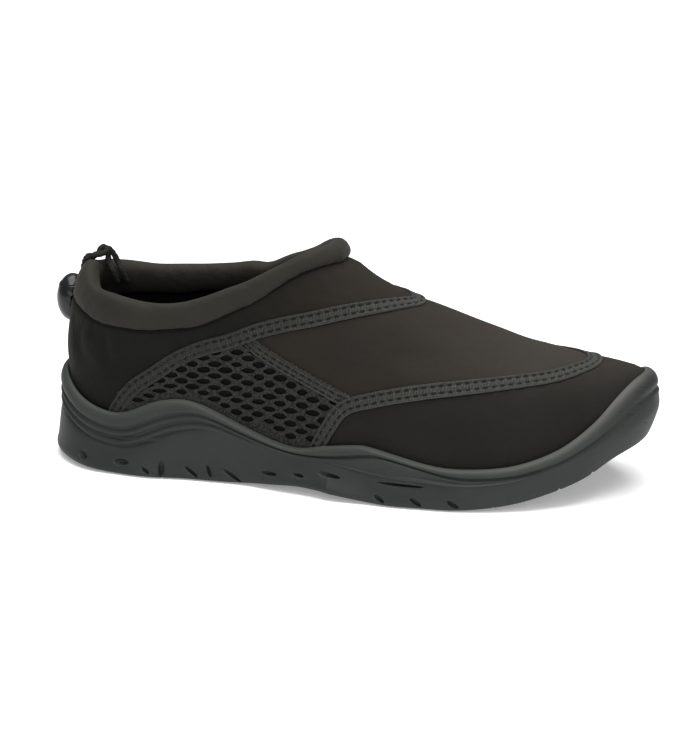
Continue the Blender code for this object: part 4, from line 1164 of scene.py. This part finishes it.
def braided(name, table, node):
    """A cord of wound yarns round a plain core."""
    line = drawn(table, CORD_STEP * MM)
    along = unit(np.gradient(line, axis=0))
    side = unit(np.cross(along, Vector((0.3, 1, 0.2)).normalized()))
    up = np.cross(side, along)
    run = np.arange(len(line)) * CORD_STEP
    verts, faces = [], []

    def add(shape):
        first = sum(len(part) for part in verts)
        verts.append(shape[0])
        faces.extend(tuple(first + corner for corner in face) for face in shape[1])

    core = (CORD_RADIUS - CORE_INSET) * MM
    add(tube(line, up, side, core, core, CORE_CORNERS))
    for yarn in range(YARNS):
        turn = 1 if yarn % 2 else -1
        angle = turn * 2 * math.pi * run / WIND + 2 * math.pi * (yarn // 2) / (YARNS / 2)
        weave = np.sin(2 * math.pi * run / WIND * (YARNS / 2) + yarn // 2 * math.pi) * turn
        out = side * np.cos(angle)[:, None] + up * np.sin(angle)[:, None]
        middles = line + out * ((CORD_RADIUS - YARN_INSET + YARN_SWING * weave) * MM)[:, None]
        ahead = unit(np.gradient(middles, axis=0))
        add(tube(middles, out, np.cross(ahead, out), YARN[0] * MM, YARN[1] * MM, YARN_CORNERS))
    return keep(faced_out(made(name, np.vstack(verts), faces, braid_finish)), "cord_braid", node)


braided("pull_cord_braid_near", CORD_NEAR, "pull_cord_near")
braided("pull_cord_braid_far", CORD_FAR, "pull_cord_far")

# %% [markdown]
# ## The cord lock
# The lock is a softly shiny moulded half ball with a push button on top, set in a fine groove. Both
# copies are subdivided and keep the shape of their solids.

# %% Polish the lock
PLASTIC = (0.005, 0.0055, 0.0065), (0.009, 0.0095, 0.011)
lock_finish = Finish("lock_plastic", Roughness=0.32, Specular_IOR_Level=0.28, Coat_Weight=0.15,
                     Coat_Roughness=0.1)
lock_grain = lock_finish.noise(lock_finish.place(), 0.7)
lock_finish.look(Base_Color=lock_finish.blend(lock_grain, *PLASTIC),
                 Normal=lock_finish.raised(lock_grain, 0.00004))
for node, slot in (("lock_body", "lock_plastic"), ("lock_button", "button_plastic")):
    moulded_part = smoothed(copied(node, node + "_moulded"), 2)
    moulded_part.data.materials.append(lock_finish.material)
    keep(moulded_part, slot, node)

# %% [markdown]
# ## The studio
# A pale floor, a dim white world and three soft lamps: a large one over the shoe, one in front on the
# camera's side, and one low from the toe.

# %% Light the stage
FLOOR_SIZE, FLOOR_PLACE = 14, (0.09, 0, -0.0004)
WORLD_LIGHT, FLOOR_GLOW = 0.22, 0.25
LAMPS = (("top", (0.15, 0.05, 1.6), 1.6, 42), ("front", (0.2, -1.3, 0.9), 0.7, 5),
         ("toe", (1.3, -0.3, 0.5), 0.5, 3))
bpy.ops.mesh.primitive_plane_add(size=FLOOR_SIZE, location=FLOOR_PLACE)
floor = bpy.context.object
floor.name = "floor"
paper = Finish("paper", Roughness=0.9, Base_Color=(0.9, 0.9, 0.9, 1), Specular_IOR_Level=0.1,
               Emission_Color=(1, 1, 1, 1), Emission_Strength=FLOOR_GLOW)
floor.data.materials.append(paper.material)
world = bpy.data.worlds.new("studio")
world.use_nodes = True
world.node_tree.nodes["Background"].inputs["Color"].default_value = (1, 1, 1, 1)
world.node_tree.nodes["Background"].inputs["Strength"].default_value = WORLD_LIGHT
bpy.context.scene.world = world
bpy.context.scene.view_settings.view_transform = "Standard"
for name, place, size, power in LAMPS:
    lamp = bpy.data.lights.new(name, "AREA")
    lamp.size = size
    lamp.energy = power
    light = bpy.data.objects.new(name, lamp)
    light.location = place
    light.rotation_mode = "QUATERNION"
    light.rotation_quaternion = (TARGET - Vector(place)).to_track_quat("-Z", "Y")
    bpy.context.scene.collection.objects.link(light)

# %% [markdown]
# ## The finished shoe
# A helper turns bounds into plain lists of numbers.

# %% Bounds as plain lists


def plain(bounds):
    """Bounds as plain lists."""
    return [[float(part) for part in corner] for corner in bounds]
